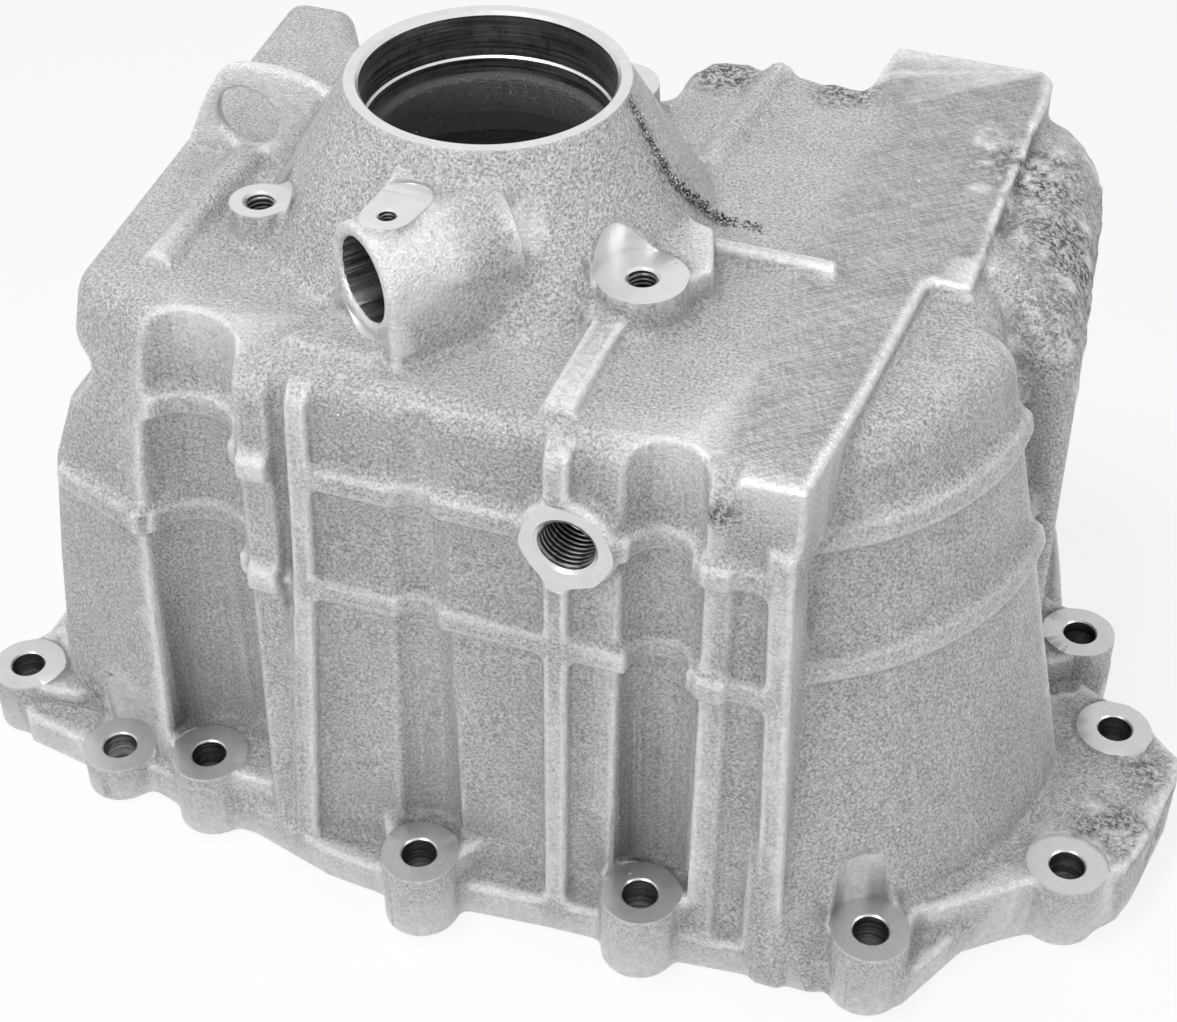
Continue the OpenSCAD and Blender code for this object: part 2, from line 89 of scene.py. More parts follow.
class Term:
    """A shader value that takes part in Python expressions. Each operator adds a Math node."""

    def __init__(self, shader: "Shader", value: "bpy.types.NodeSocket | float") -> None:
        """Wraps a socket or a plain number.

        Args:
            shader: The material's builder.
            value: The socket or number.
        """
        self.shader = shader
        self.value = value

    def _math(self, operation: str, *others: "Term | float", clamp: bool = False) -> "Term":
        """Adds one Math node on this term and others."""
        inputs = {0: self, **{i + 1: other for i, other in enumerate(others)}}
        return self.shader.node("ShaderNodeMath", {"operation": operation, "use_clamp": clamp}, inputs)

    def __add__(self, other: "Term | float") -> "Term":
        """Sum."""
        return self._math("ADD", other)

    def __radd__(self, other: float) -> "Term":
        """Sum with a number on the left."""
        return self._math("ADD", other)

    def __sub__(self, other: "Term | float") -> "Term":
        """Difference."""
        return self._math("SUBTRACT", other)

    def __rsub__(self, other: float) -> "Term":
        """Number minus this term."""
        return Term(self.shader, other)._math("SUBTRACT", self)

    def __mul__(self, other: "Term | float") -> "Term":
        """Product."""
        return self._math("MULTIPLY", other)

    def __rmul__(self, other: float) -> "Term":
        """Product with a number on the left."""
        return self._math("MULTIPLY", other)

    def __gt__(self, other: "Term | float") -> "Term":
        """1 where this term is the larger."""
        return self._math("GREATER_THAN", other)

    def clamped(self) -> "Term":
        """The term held between 0 and 1."""
        return self._math("ADD", 0.0, clamp=True)

    def ramp(self, low: float, high: float) -> "Term":
        """0 below low, 1 above high and a smooth rise between.

        Args:
            low: Where the rise starts.
            high: Where it ends.

        Returns:
            The rising term.
        """
        settings = {"interpolation_type": "SMOOTHSTEP"}
        return self.shader.node("ShaderNodeMapRange", settings, {"Value": self, "From Min": low, "From Max": high})


class Shader:
    """Builds one procedural material on a Principled surface."""

    def __init__(self, name: str) -> None:
        """Makes an empty material.

        Args:
            name: The material's name.
        """
        self.material = bpy.data.materials.new(name)
        self.material.use_nodes = True
        self.tree = self.material.node_tree
        self.tree.nodes.clear()
        self.place = self.node("ShaderNodeTexCoord", {}, {}, "Object")

    def node(
        self,
        kind: str,
        settings: dict[str, object],
        inputs: dict[str | int, object],
        output: str | int = 0,
    ) -> Term:
        """Adds a node, sets it, then its sockets.

        Args:
            kind: The node's type.
            settings: Attributes that are set first.
            inputs: Socket names or places with a Term, socket, number or colour each.
            output: The output socket to hand back.

        Returns:
            The output as a term.
        """
        node = self.tree.nodes.new(kind)
        for key, value in settings.items():
            setattr(node, key, value)
        for key, value in inputs.items():
            socket = node.inputs[key]
            if isinstance(value, Term):
                value = value.value
            if isinstance(value, bpy.types.NodeSocket):
                self.tree.links.new(value, socket)
            else:
                socket.default_value = value
        return Term(self, node.outputs[output])

    def noise(self, size: float, detail: float = 2.0, rough: float = 0.5, stretch: Vec3 = (1, 1, 1)) -> Term:
        """Noise with grains of a size in millimetres.

        Args:
            size: Size of one grain.
            detail: Octaves of finer noise.
            rough: Share of each finer octave.
            stretch: Factors on the three axes, below 1 for longer grains.

        Returns:
            The noise, about 0.5 on average.
        """
        scale = tuple(s / (size * MM) for s in stretch)
        place = self.node("ShaderNodeVectorMath", {"operation": "MULTIPLY"}, {0: self.place, 1: scale})
        inputs = {"Vector": place, "Scale": 1.0, "Detail": detail, "Roughness": rough}
        return self.node("ShaderNodeTexNoise", {}, inputs)

    def cells(self, size: float) -> Term:
        """Distance in Voronoi cells of a size in millimetres."""
        return self.node("ShaderNodeTexVoronoi", {}, {"Vector": self.place, "Scale": 1.0 / (size * MM)})

    def axis(self, name: str) -> Term:
        """X, Y or Z of the surface point, in millimetres from the shaft axis."""
        split = self.node("ShaderNodeSeparateXYZ", {}, {0: self.place}, name)
        return split * (1 / MM) - float(SHAFT["XYZ".index(name)])

    def mark(self, name: str) -> Term:
        """A value that was painted on the mesh's points."""
        return self.node("ShaderNodeAttribute", {"attribute_name": name}, {}, "Fac")

    def blend(self, factor: Term, low: "Term | Colour", high: Colour) -> Term:
        """Colour that goes from low to high with factor."""
        return self.node("ShaderNodeMix", {"data_type": "RGBA"}, {0: factor, 6: low, 7: high}, 2)

    def bump(self, height: Term, depth: float, under: "Term | None" = None) -> Term:
        """Normal from a height field.

        Args:
            height: Heights from 0 to 1.
            depth: Height of 1 in millimetres.
            under: An earlier normal that this one is laid on.

        Returns:
            The normal.
        """
        inputs: dict[str | int, object] = {"Height": height, "Strength": 1.0, "Distance": depth * MM}
        if under is not None:
            inputs["Normal"] = under
        return self.node("ShaderNodeBump", {}, inputs)

    def surface(self, colour: Term, rough: "Term | float", normal: Term, metal: float) -> bpy.types.Material:
        """Ends the material in a Principled surface.

        Args:
            colour: Base colour.
            rough: Roughness.
            normal: Bumped normal.
            metal: Metallic share.

        Returns:
            The material.
        """
        inputs = {"Base Color": colour, "Roughness": rough, "Metallic": metal, "Normal": normal}
        return self.end(self.node("ShaderNodeBsdfPrincipled", {}, inputs))

    def end(self, shader: Term) -> bpy.types.Material:
        """Joins a shader to the material's output."""
        out = self.tree.nodes.new("ShaderNodeOutputMaterial")
        self.tree.links.new(shader.value, out.inputs["Surface"])
        return self.material


def grey(value: float, warm: float = 0.0) -> Colour:
    """Grey with a little warmth added to red and taken from blue."""
    return (value + warm, value, value - warm, 1.0)


class Mark(Enum):
    """Values painted on the points of the casting, by the names that the materials read."""

    # Dirt and painted shade in inner corners.
    CREASE = "crease"
    SHADE = "shade"
    # Wear and painted highlight on outer edges.
    EDGE = "edge"
    TORN = "torn"
    # Painted shade of the hollow and the throat.
    INNER = "inner"


@dataclass(frozen=True)
class CastSkin:
    """Shot-blasted die-cast skin, with dirt and painted shade in its creases, and wear and a painted highlight along
    its edges.

    The flat platform is sanded by hand, torn places are pitted and the hollow is painted black as shade.

    Attributes:
        tone: Linear grey of clean metal.
        grain: Size of the blasted grain in millimetres.
        depth: Depth of the grain in millimetres.
        wave: Depth of the skin's slow waves in millimetres.
        pit: Depth of its pores and pits in millimetres.
        hollow_shade: Linear grey of the painted shade in the hollow.
        metal: Metallic share.
        sanded_from: Where the sanded border starts and ends, along X from the shaft axis.
    """

    tone: float = 0.47
    grain: float = 0.9
    depth: float = 0.30
    wave: float = 0.30
    pit: float = 0.16
    hollow_shade: float = 0.035
    metal: float = 0.32
    sanded_from: tuple[float, float] = (104.0, 116.0)

    def sanded(self, s: Shader, clouds: Term) -> Term:
        """Where the platform was sanded.

        Args:
            s: The material's builder.
            clouds: Noise that frays the border.

        Returns:
            1 on the sanded top, 0 elsewhere.
        """
        return (s.axis("Z") > ROOF - 0.7) * (s.axis("X") + clouds * 26.0).ramp(*self.sanded_from)

    def scratches(self, s: Shader) -> Term:
        """Fine crossing scratches of sandpaper.

        Args:
            s: The material's builder.

        Returns:
            Heights about 0.5.
        """
        lines = 0.0
        for turn, share in ((-38.0, 0.45), (24.0, 0.35), (66.0, 0.30)):
            angle = math.radians(turn)
            inputs = {"Vector": s.place, "Angle": angle}
            turned = s.node("ShaderNodeVectorRotate", {"rotation_type": "Z_AXIS"}, inputs)
            drawn = s.node("ShaderNodeVectorMath", {"operation": "MULTIPLY"}, {0: turned, 1: (75.0, 1500.0, 75.0)})
            noise = s.node("ShaderNodeTexNoise", {}, {"Vector": drawn, "Scale": 1.0, "Detail": 2.0})
            lines = noise * share + lines
        return lines

    def material(self) -> bpy.types.Material:
        """Builds the material.

        Returns:
            The material of every face that isn't machined.
        """
        s = Shader("CastSkin")
        crease, shade = s.mark(Mark.CREASE.value), s.mark(Mark.SHADE.value)
        edge, torn = s.mark(Mark.EDGE.value), s.mark(Mark.TORN.value)
        clouds = s.noise(24, 3.0, 0.55)
        drag = s.noise(9, 3.0, 0.6, (1.0, 1.0, 0.25))
        fine = s.noise(self.grain, 3.0, 0.68)
        coarse = s.noise(2.4, 2.0, 0.6)
        pores = s.cells(3.4).ramp(0.04, 0.13)
        stain = s.noise(11, 4.0, 0.65).ramp(0.58, 0.70)
        pits = s.noise(2.0, 4.0, 0.72).ramp(0.49, 0.56) * torn
        sanded = self.sanded(s, clouds)
        lines = self.scratches(s)
        grain = (fine * 3.6 - 1.3) * (1.0 - sanded * 0.6) + (lines * 2.6 - 1.45) * (sanded * 0.8)
        tone = (grain * 0.80 + clouds * 0.30 + drag * 0.22 + coarse * 0.20 - 0.26).clamped()
        base = s.blend(tone, grey(self.tone * 0.50), grey(self.tone * 1.60, 0.003))
        base = s.blend(stain * 0.22, base, grey(self.tone * 0.55, 0.004))
        base = s.blend((1.0 - pores) * 0.45, base, grey(self.tone * 0.38))
        base = s.blend(pits * 0.92, base, grey(0.045))
        base = s.blend((shade * 0.38).clamped(), base, grey(self.tone * 0.34))
        # Dirt and painted shade: inner corners are darkened towards a sixth of the metal's tone.
        base = s.blend((crease * (0.55 + coarse * 0.5)).clamped(), base, grey(self.tone * 0.16))
        # Wear and painted highlight: outer edges are brightened to about twice the metal's tone.
        base = s.blend((edge * (0.25 + coarse * 0.7)).clamped(), base, grey(self.tone * 2.1))
        # Painted shade: the hollow under the roof and the throat are darkened nearly to black.
        base = s.blend(s.mark(Mark.INNER.value) * 0.9, base, grey(self.hollow_shade))
        rough = 0.36 + fine * 0.12 + stain * 0.10 + pits * 0.2 - edge * 0.12
        wave = s.bump(s.noise(7, 2.0, 0.5), self.wave)
        grains = s.bump(grain, self.depth, wave)
        return s.surface(base, rough, s.bump(pores - pits * 2.0, self.pit, grains), self.metal)


@dataclass(frozen=True)
class MilledFace:
    """Bright face left by a cutter, with fine arcs and a few nicks.

    Attributes:
        name: The material's name.
        tone: Linear grey of the cut metal.
        lines: Distance between tool marks in millimetres.
        stretch: Factors on the axes that draw the marks out.
    """

    name: str = "MilledFace"
    tone: float = 0.72
    lines: float = 0.5
    stretch: Vec3 = (0.12, 1.0, 1.0)

    def material(self) -> bpy.types.Material:
        """Builds the material."""
        s = Shader(self.name)
        marks = s.noise(self.lines, 2.0, 0.6, self.stretch)
        clouds = s.noise(6, 3.0, 0.6)
        nick = s.noise(2.2, 3.0, 0.7).ramp(0.66, 0.74)
        mix = (clouds * 0.7 + marks * 0.5 - 0.1).clamped()
        base = s.blend(mix, grey(self.tone * 0.82), grey(self.tone * 1.12, 0.003))
        base = s.blend(nick * 0.6, base, grey(self.tone * 0.45))
        normal = s.bump(1.0 - nick, 0.12, s.bump(marks, 0.035))
        return s.surface(base, 0.24 + marks * 0.12 + nick * 0.2, normal, 0.85)


@dataclass(frozen=True)
class BoredWall:
    """Turned wall of a bore, with rings round its axis, its tone kept dark as painted shade of the bore's inside.

    Attributes:
        name: The material's name.
        tone: Linear grey of the wall, dark as painted shade.
        pitch: Distance between rings in millimetres.
    """

    name: str = "BoredWall"
    # Painted shade: the bored wall is far darker than the milled faces of the same metal.
    tone: float = 0.19
    pitch: float = 0.9

    def material(self) -> bpy.types.Material:
        """Builds the material."""
        s = Shader(self.name)
        rings = s.noise(self.pitch, 2.0, 0.6, (0.03, 0.03, 1.0))
        clouds = s.noise(7, 3.0, 0.6)
        streaks = s.noise(1.6, 3.0, 0.7, (1.0, 1.0, 0.5)).ramp(0.52, 0.68)
        mix = (rings * 2.4 + clouds * 0.5 - 1.05).clamped()
        base = s.blend(mix, grey(self.tone * 0.35), grey(self.tone * 2.2, 0.003))
        base = s.blend(streaks * 0.5, base, grey(self.tone * 0.25))
        return s.surface(base, 0.26 + clouds * 0.16, s.bump(rings, 0.09), 0.88)


@dataclass(frozen=True)
class TornMetal:
    """Crumbled metal of a tear, dark between bright grains."""

    tone: float = 0.30

    def material(self) -> bpy.types.Material:
        """Builds the material."""
        s = Shader("TornMetal")
        grains = s.noise(0.8, 2.0, 0.6).ramp(0.42, 0.60)
        base = s.blend(grains, grey(self.tone * 0.12), grey(self.tone * 1.7))
        return s.surface(base, 0.5, s.bump(grains, 0.2), 0.6)


class Finish(Enum):
    """Finishes of the housing, by their place in its material list."""

    CAST = 0
    MILLED = 1
    BORED = 2
    DRILLED = 3
    TORN = 4
    FACED = 5


CAST, MILLED, BORED, DRILLED, TORN, FACED = Finish


def finishes() -> list[bpy.types.Material]:
    """Builds every finish.

    Returns:
        The materials in the order of Finish.
    """
    return [
        CastSkin().material(),
        MilledFace().material(),
        BoredWall().material(),
        # Painted shade: drilled walls are darker still than bored ones.
        BoredWall("DrilledWall", 0.16, 0.9).material(),
        TornMetal().material(),
        MilledFace("FacedLug", 0.62, 0.8, (1.0, 1.0, 1.0)).material(),
    ]


def mesh_from(name: str, points: np.ndarray, faces: np.ndarray, finish: "np.ndarray | None" = None) -> bpy.types.Mesh:
    """Makes a mesh from arrays.

    Args:
        name: The mesh's name.
        points: Points in metres, one row each.
        faces: Point numbers, one row each; all faces have the same number of corners.
        finish: Material number of each face, or None.

    Returns:
        The mesh.
    """
    mesh = bpy.data.meshes.new(name)
    count, corners = faces.shape
    mesh.vertices.add(len(points))
    mesh.vertices.foreach_set("co", np.ascontiguousarray(points, np.float32).ravel())
    mesh.loops.add(count * corners)
    mesh.loops.foreach_set("vertex_index", np.ascontiguousarray(faces, np.int32).ravel())
    mesh.polygons.add(count)
    mesh.polygons.foreach_set("loop_start", np.arange(0, count * corners, corners, dtype=np.int32))
    if finish is not None:
        mesh.polygons.foreach_set("material_index", np.ascontiguousarray(finish, np.int32))
    mesh.update(calc_edges=True)
    return mesh


def points_of(mesh: bpy.types.Mesh, value: str = "co") -> np.ndarray:
    """Places of a mesh's points in metres, or another vector of theirs, one row each."""
    rows = np.empty(len(mesh.vertices) * 3, np.float32)
    mesh.vertices.foreach_get(value, rows)
    return rows.reshape(-1, 3)


def triangles_of(mesh: bpy.types.Mesh) -> np.ndarray:
    """Point numbers of a mesh's triangles, one row each."""
    mesh.calc_loop_triangles()
    rows = np.empty(len(mesh.loop_triangles) * 3, np.int32)
    mesh.loop_triangles.foreach_get("vertices", rows)
    return rows.reshape(-1, 3)


def placed(name: str, mesh: bpy.types.Mesh) -> bpy.types.Object:
    """Puts a mesh into the scene at the origin."""
    obj = bpy.data.objects.new(name, mesh)
    bpy.context.scene.collection.objects.link(obj)
    return obj


def baked(obj: bpy.types.Object) -> bpy.types.Mesh:
    """Applies an object's modifiers.

    Args:
        obj: The object; its modifiers are removed.

    Returns:
        Its new plain mesh.
    """
    graph = bpy.context.evaluated_depsgraph_get()
    mesh = bpy.data.meshes.new_from_object(obj.evaluated_get(graph), preserve_all_data_layers=True, depsgraph=graph)
    obj.modifiers.clear()
    old, obj.data = obj.data, mesh
    bpy.data.meshes.remove(old)
    return mesh


def turned_mesh(
    profile: Sequence[tuple[float, float, Finish]], origin: Vec3, axis: Vec3, steps: int = 96
) -> Tool:
    """Solid turned from a profile.

    Args:
        profile: Rows of radius, height along the axis and the finish up to the next row. It starts and
            ends on the axis.
        origin: Foot of the axis, from the shaft axis.
        axis: Direction of the axis.
        steps: Sides round the axis.

    Returns:
        Points in millimetres, triangles and their finishes.
    """
    turn = Vector(axis).to_track_quat("Z", "Y").to_matrix()
    angles = np.arange(steps) * (2 * math.pi / steps)
    circle = np.stack([np.cos(angles), np.sin(angles)], 1)
    points, triangles, kinds = [np.array([[0.0, 0.0, profile[0][1]]])], [], []
    rings = [row for row in profile if row[0] > 0]
    for radius, height, _ in rings:
        points.append(np.column_stack([circle * radius, np.full(steps, height)]))
    points.append(np.array([[0.0, 0.0, profile[-1][1]]]))
    here = np.arange(steps)
    ahead = (here + 1) % steps
    first, last = 1, 1 + steps * (len(rings) - 1)
    top = 1 + steps * len(rings)
    triangles.append(np.column_stack([np.zeros(steps, int), first + ahead, first + here]))
    kinds.append(np.full(steps, profile[0][2].value))
    for row in range(len(rings) - 1):
        a, b = 1 + row * steps, 1 + (row + 1) * steps
        triangles.append(np.column_stack([a + here, a + ahead, b + ahead]))
        triangles.append(np.column_stack([a + here, b + ahead, b + here]))
        kinds.append(np.full(2 * steps, rings[row][2].value))
    triangles.append(np.column_stack([last + here, last + ahead, np.full(steps, top)]))
    kinds.append(np.full(steps, rings[-1][2].value))
    placed_points = np.vstack(points) @ np.array(turn).T + np.array(origin)
    return placed_points, np.vstack(triangles), np.concatenate(kinds)


def prism_mesh(
    outline: Sequence[tuple[float, float]], low: float, high: float, floor: Finish, side: Finish
) -> Tool:
    """Upright prism over an anticlockwise outline.

    Args:
        outline: Corners from the shaft axis.
        low: Height of the bottom.
        high: Height of the top.
        floor: Finish that the bottom leaves.
        side: Finish that the sides leave.

    Returns:
        Points in millimetres, triangles and their finishes.
    """
    flat = np.array(outline, float)
    n = len(flat)
    cap = np.array(tessellate_polygon([[Vector((x, y, 0)) for x, y in outline]]), int)
    a, b, c = flat[cap[:, 0]], flat[cap[:, 1]], flat[cap[:, 2]]
    area = (b[:, 0] - a[:, 0]) * (c[:, 1] - a[:, 1]) - (c[:, 0] - a[:, 0]) * (b[:, 1] - a[:, 1])
    cap[area < 0] = cap[area < 0][:, ::-1]
    points = np.vstack([np.column_stack([flat, np.full(n, low)]), np.column_stack([flat, np.full(n, high)])])
    here = np.arange(n)
    ahead = (here + 1) % n
    triangles = np.vstack(
        [
            cap[:, ::-1],
            cap + n,
            np.column_stack([here, ahead, ahead + n]),
            np.column_stack([here, ahead + n, here + n]),
        ]
    )
    kinds = np.concatenate(
        [np.full(len(cap), floor.value), np.full(len(cap), side.value), np.full(2 * n, side.value)]
    )
    return points, triangles, kinds


class Field:
    """Signed distance to the casting's skin on a grid, negative inside."""

    def __init__(self, values: np.ndarray, start: np.ndarray, voxel: float) -> None:
        """Keeps a dense grid.

        Args:
            values: Distances in millimetres.
            start: Grid place of the first value.
            voxel: Size of a grid step in millimetres.
        """
        self.values = values
        self.start = start
        self.voxel = voxel

    @staticmethod
    def grid(points: np.ndarray, faces: np.ndarray, voxel: float, reach: float) -> openvdb.FloatGrid:
        """Distance grid of a closed mesh.

        Args:
            points: Points in millimetres.
            faces: Triangles or quads.
            voxel: Grid step in millimetres.
            reach: Distance up to which the grid is exact.

        Returns:
            The grid.
        """
        kind = "triangles" if faces.shape[1] == 3 else "quads"
        return openvdb.FloatGrid.createLevelSetFromPolygons(
            np.ascontiguousarray(points, np.float32),
            transform=openvdb.createLinearTransform(voxel),
            halfWidth=reach / voxel + 3.0,
            **{kind: np.ascontiguousarray(faces, np.uint32)},
        )

    @classmethod
    def filled(cls, points: np.ndarray, faces: np.ndarray, voxel: float, fillet: float) -> "Field":
        """Field of a mesh whose inner corners are filled with a radius.

        Args:
            points: Points in millimetres.
            faces: Triangles.
            voxel: Grid step in millimetres.
            fillet: Radius of the fillets.

        Returns:
            The field.
        """
        swollen = cls.grid(points, faces, voxel, fillet)
        outer_points, outer_quads = swollen.convertToQuads(isovalue=fillet)
        back = cls.grid(outer_points, outer_quads, voxel, fillet + 2 * voxel)
        low, high = (np.array(corner) for corner in back.evalActiveVoxelBoundingBox())
        values = np.empty(high - low + 1, np.float32)
        back.copyToArray(values, ijk=tuple(int(v) for v in low))
        return cls(values + np.float32(fillet), low, voxel)

    def window(self, low: Sequence[float], high: Sequence[float]) -> tuple[tuple[slice, ...], list[np.ndarray]]:
        """Part of the grid inside a box.

        Args:
            low: Lowest corner from the shaft axis, in millimetres.
            high: Highest corner.

        Returns:
            Slices of the grid and the X, Y and Z of its points, shaped to broadcast.
        """
        slices, axes = [], []
        for i in range(3):
            a = math.floor((low[i] + SHAFT[i]) / self.voxel) - self.start[i]
            b = math.ceil((high[i] + SHAFT[i]) / self.voxel) - self.start[i]
            a, b = max(0, int(a)), min(self.values.shape[i], int(b) + 1)
            slices.append(slice(a, b))
            shape = [1, 1, 1]
            shape[i] = b - a
            axes.append(((np.arange(a, b) + self.start[i]) * self.voxel - SHAFT[i]).reshape(shape).astype(np.float32))
        return tuple(slices), axes

    def add_post(self, x: float, y: float, low: float, high: float, radius: float) -> None:
        """Adds an upright round post of casting skin, which a cutter later takes down."""
        span = radius + BAND
        part, (gx, gy, gz) = self.window((x - span, y - span, low - BAND), (x + span, y + span, high + BAND))
        side = np.sqrt((gx - x) ** 2 + (gy - y) ** 2) - radius
        ends = np.abs(gz - (low + high) / 2) - (high - low) / 2
        np.minimum(self.values[part], np.maximum(side, ends), out=self.values[part])

    def add_pad(self, axis: int, outline: Sequence[tuple[float, float]], low: float, high: float) -> None:
        """Adds a straight pad of casting skin over an outline, which a cutter later takes down.

        Args:
            axis: Number of the axis that the pad runs along.
            outline: Corners on the other two axes, in their order.
            low: Where the pad starts along its axis.
            high: Where it ends.
        """
        flat = np.array(outline, float)
        first, second = (i for i in range(3) if i != axis)
        corners = np.zeros((2, 3))
        corners[:, first] = flat[:, 0].min() - BAND, flat[:, 0].max() + BAND
        corners[:, second] = flat[:, 1].min() - BAND, flat[:, 1].max() + BAND
        corners[:, axis] = low - BAND, high + BAND
        part, grid = self.window(*corners)
        near, inside = np.float32(1e9), np.False_
        for (x0, y0), (x1, y1) in zip(flat, np.roll(flat, -1, axis=0)):
            px, py, dx, dy = grid[first] - x0, grid[second] - y0, x1 - x0, y1 - y0
            share = np.clip((px * dx + py * dy) / (dx * dx + dy * dy), 0, 1)
            near = np.minimum(near, (px - share * dx) ** 2 + (py - share * dy) ** 2)
            slope = dx / dy if abs(dy) > 1e-9 else 0.0
            inside = inside ^ (((py < 0) != (py < dy)) & (px < slope * py))
        side = np.sqrt(near) * np.where(inside, -1.0, 1.0)
        ends = np.abs(grid[axis] - (low + high) / 2) - (high - low) / 2
        np.minimum(self.values[part], np.maximum(side, ends), out=self.values[part])

    def roughen(self, low: Sequence[float], high: Sequence[float], grain: float, depth: float, seed: int) -> None:
        """Grows lumps and pits on the skin inside a box.

        Args:
            low: Lowest corner from the shaft axis.
            high: Highest corner.
            grain: Size of the lumps in millimetres.
            depth: Height of the lumps in millimetres.
            seed: Seed of their places.
        """
        part, axes = self.window(low, high)
        shape, cell = self.values[part].shape, grain / self.voxel
        lumps = lattice_noise(shape, cell, seed) + 0.5 * lattice_noise(shape, cell * 0.45, seed + 1)
        fade = np.float32(1.0)
        for axis, a, b in zip(axes, low, high):
            edge = np.clip(np.minimum(axis - a, b - axis) / 5.0, 0, 1)
            fade = fade * edge
        self.values[part] += (lumps * depth * fade).astype(np.float32)

    def at(self, points: np.ndarray) -> np.ndarray:
        """Distances at points.

        Args:
            points: Points in millimetres in the row frame.

        Returns:
            One distance for each point.
        """
        place = points / self.voxel - self.start
        low = np.clip(np.floor(place).astype(int), 0, np.array(self.values.shape) - 2)
        share = np.clip(place - low, 0, 1)
        total = np.zeros(len(points))
        for corner in np.ndindex(2, 2, 2):
            step = np.array(corner)
            weight = np.prod(np.where(step == 1, share, 1 - share), axis=1)
            i, j, k = (low + step).T
            total += weight * self.values[i, j, k]
        return total

    def covered(self, points: np.ndarray, height: float) -> np.ndarray:
        """Where points lie in the hollow, under the roof and with nothing below.

        Args:
            points: Points in millimetres in the row frame.
            height: Height above which metal counts as roof.

        Returns:
            True for each point in the hollow.
        """
        first = int(height / self.voxel) - self.start[2]
        metal = self.values < 0
        roof = metal[:, :, first:].any(axis=2)
        blocked = np.maximum.accumulate(metal, axis=2)
        place = np.rint(points / self.voxel - self.start).astype(int)
        i, j, k = np.clip(place, 0, np.array(metal.shape) - 1).T
        return roof[i, j] & ~blocked[i, j, k]

    def soften(self, passes: int) -> None:
        """Rounds edges by averaging each point with its neighbours."""
        for _ in range(passes):
            for axis in range(3):
                v = self.values
                ahead = np.roll(v, -1, axis)
                behind = np.roll(v, 1, axis)
                self.values = (v * 2 + ahead + behind) * np.float32(0.25)

    def skin(self) -> tuple[np.ndarray, np.ndarray]:
        """The surface at distance 0.

        Returns:
            Points in millimetres in the row frame, and quads.
        """
        grid = openvdb.FloatGrid(float(self.values.max()))
        grid.transform = openvdb.createLinearTransform(self.voxel)
        grid.copyFromArray(self.values, ijk=tuple(int(v) for v in self.start))
        points, quads = grid.convertToQuads(isovalue=0.0)
        return points, quads


def lattice_noise(shape: Sequence[int], cell: float, seed: int) -> np.ndarray:
    """Smooth noise between -1 and 1 from random values on a coarse lattice.

    Args:
        shape: Size of the result.
        cell: Lattice step in grid points.
        seed: Seed of the values.

    Returns:
        The noise.
    """
    coarse = [int(n / cell) + 3 for n in shape]
    values = np.random.default_rng(seed).uniform(-1, 1, coarse).astype(np.float32)
    for axis, n in enumerate(shape):
        at = np.arange(n, dtype=np.float32) / cell
        low = np.floor(at).astype(int)
        share = at - low
        share = share * share * (3 - 2 * share)
        spread = [1, 1, 1]
        spread[axis] = n
        share = share.reshape(spread).astype(np.float32)
        values = np.take(values, low, axis) * (1 - share) + np.take(values, low + 1, axis) * share
    return values


@dataclass
class Lug:
    """A flange lug: its hole's place from the shaft axis and the height of its face."""

    x: float
    y: float
    z: float = 26.0


@dataclass
class Boss:
    """A tail boss: its place from the shaft axis and its radius."""

    x: float
    y: float
    radius: float


LUGS = [
    Lug(-145.5, -77.5, 21), Lug(-101.5, -95.4, 14), Lug(-65.4, -98.6), Lug(15.5, -114.8), Lug(85.5, -107.3),
    Lug(155.5, -97.6), Lug(206.6, -51, 24.5), Lug(210.8, 11.2), Lug(191.8, 53), Lug(155.5, 143), Lug(85.5, 123),
    Lug(15.5, 104), Lug(-65.4, 104), Lug(-101.5, 116), Lug(-145.5, 106, 21),
]  # fmt: skip
BOSSES = [Boss(-59.4, -35.6, 9), Boss(59.4, -35.6, 13), Boss(18, 65, 13)]
PLUG: Vec3 = (60.8, -104.0, 156.8)
PLUG_AXIS: Vec3 = (0, -1, 0)
PLUG_FACE = [
    (50.2, 150.0), (54.3, 142.6), (58.9, 140.7), (69.5, 144.7), (74.1, 155.2),
    (69.5, 166.8), (60.9, 168.2), (53.8, 170.1), (51.7, 163.4), (47.7, 155.4),
]  # fmt: skip
PORT: Vec3 = (-8.655, -75.46, 210.0)
PORT_AXIS: Vec3 = (-0.611527, -0.791224, 0.0)
SCREW: Vec3 = (-3.2, -67.4, 227.5)
TONGUE_END = (-1.8, -58.6)


@dataclass(frozen=True)
class TornSpot:
    """A rough, pitted place of the skin: its middle from the shaft axis, its radius and its strength."""

    place: Vec3
    radius: float
    strength: float = 1.0


TORN_SPOTS = [
    TornSpot((152, 80, 183), 26), TornSpot((168, 50, 176), 30), TornSpot((170, 22, 172), 24, 0.7),
    TornSpot((170, 84, 150), 34, 0.8), TornSpot((44, 100, 189), 16), TornSpot((84, 102, 190), 15, 0.9),
    TornSpot((217, -33, 24), 16, 0.9), TornSpot((224, -4, 22), 15, 0.7), TornSpot((232, -20, 12), 14, 0.7),
    TornSpot((103, -99, 178), 7, 1.0), TornSpot((186, 34, 40), 16, 0.8), TornSpot((-84, -86, 112), 12, 0.5),
    TornSpot((-116, -84, 24), 9, 0.6), TornSpot((-150, 10, 60), 30, 0.4), TornSpot((60, 140, 60), 40, 0.4),
]  # fmt: skip
SEAM: list[Vec3] = [
    (42.4, 2.6, 233.4), (45.7, 2.0, 227.8), (50.8, 1.0, 219.5), (55.1, 0.4, 212.3), (58.6, 3.4, 206.0),
    (61.8, 8.6, 199.2), (65.4, 14.6, 192.0), (69.8, 15.6, 190.2), (74.8, 15.7, 190.0), (79.0, 15.0, 190.0),
]  # fmt: skip


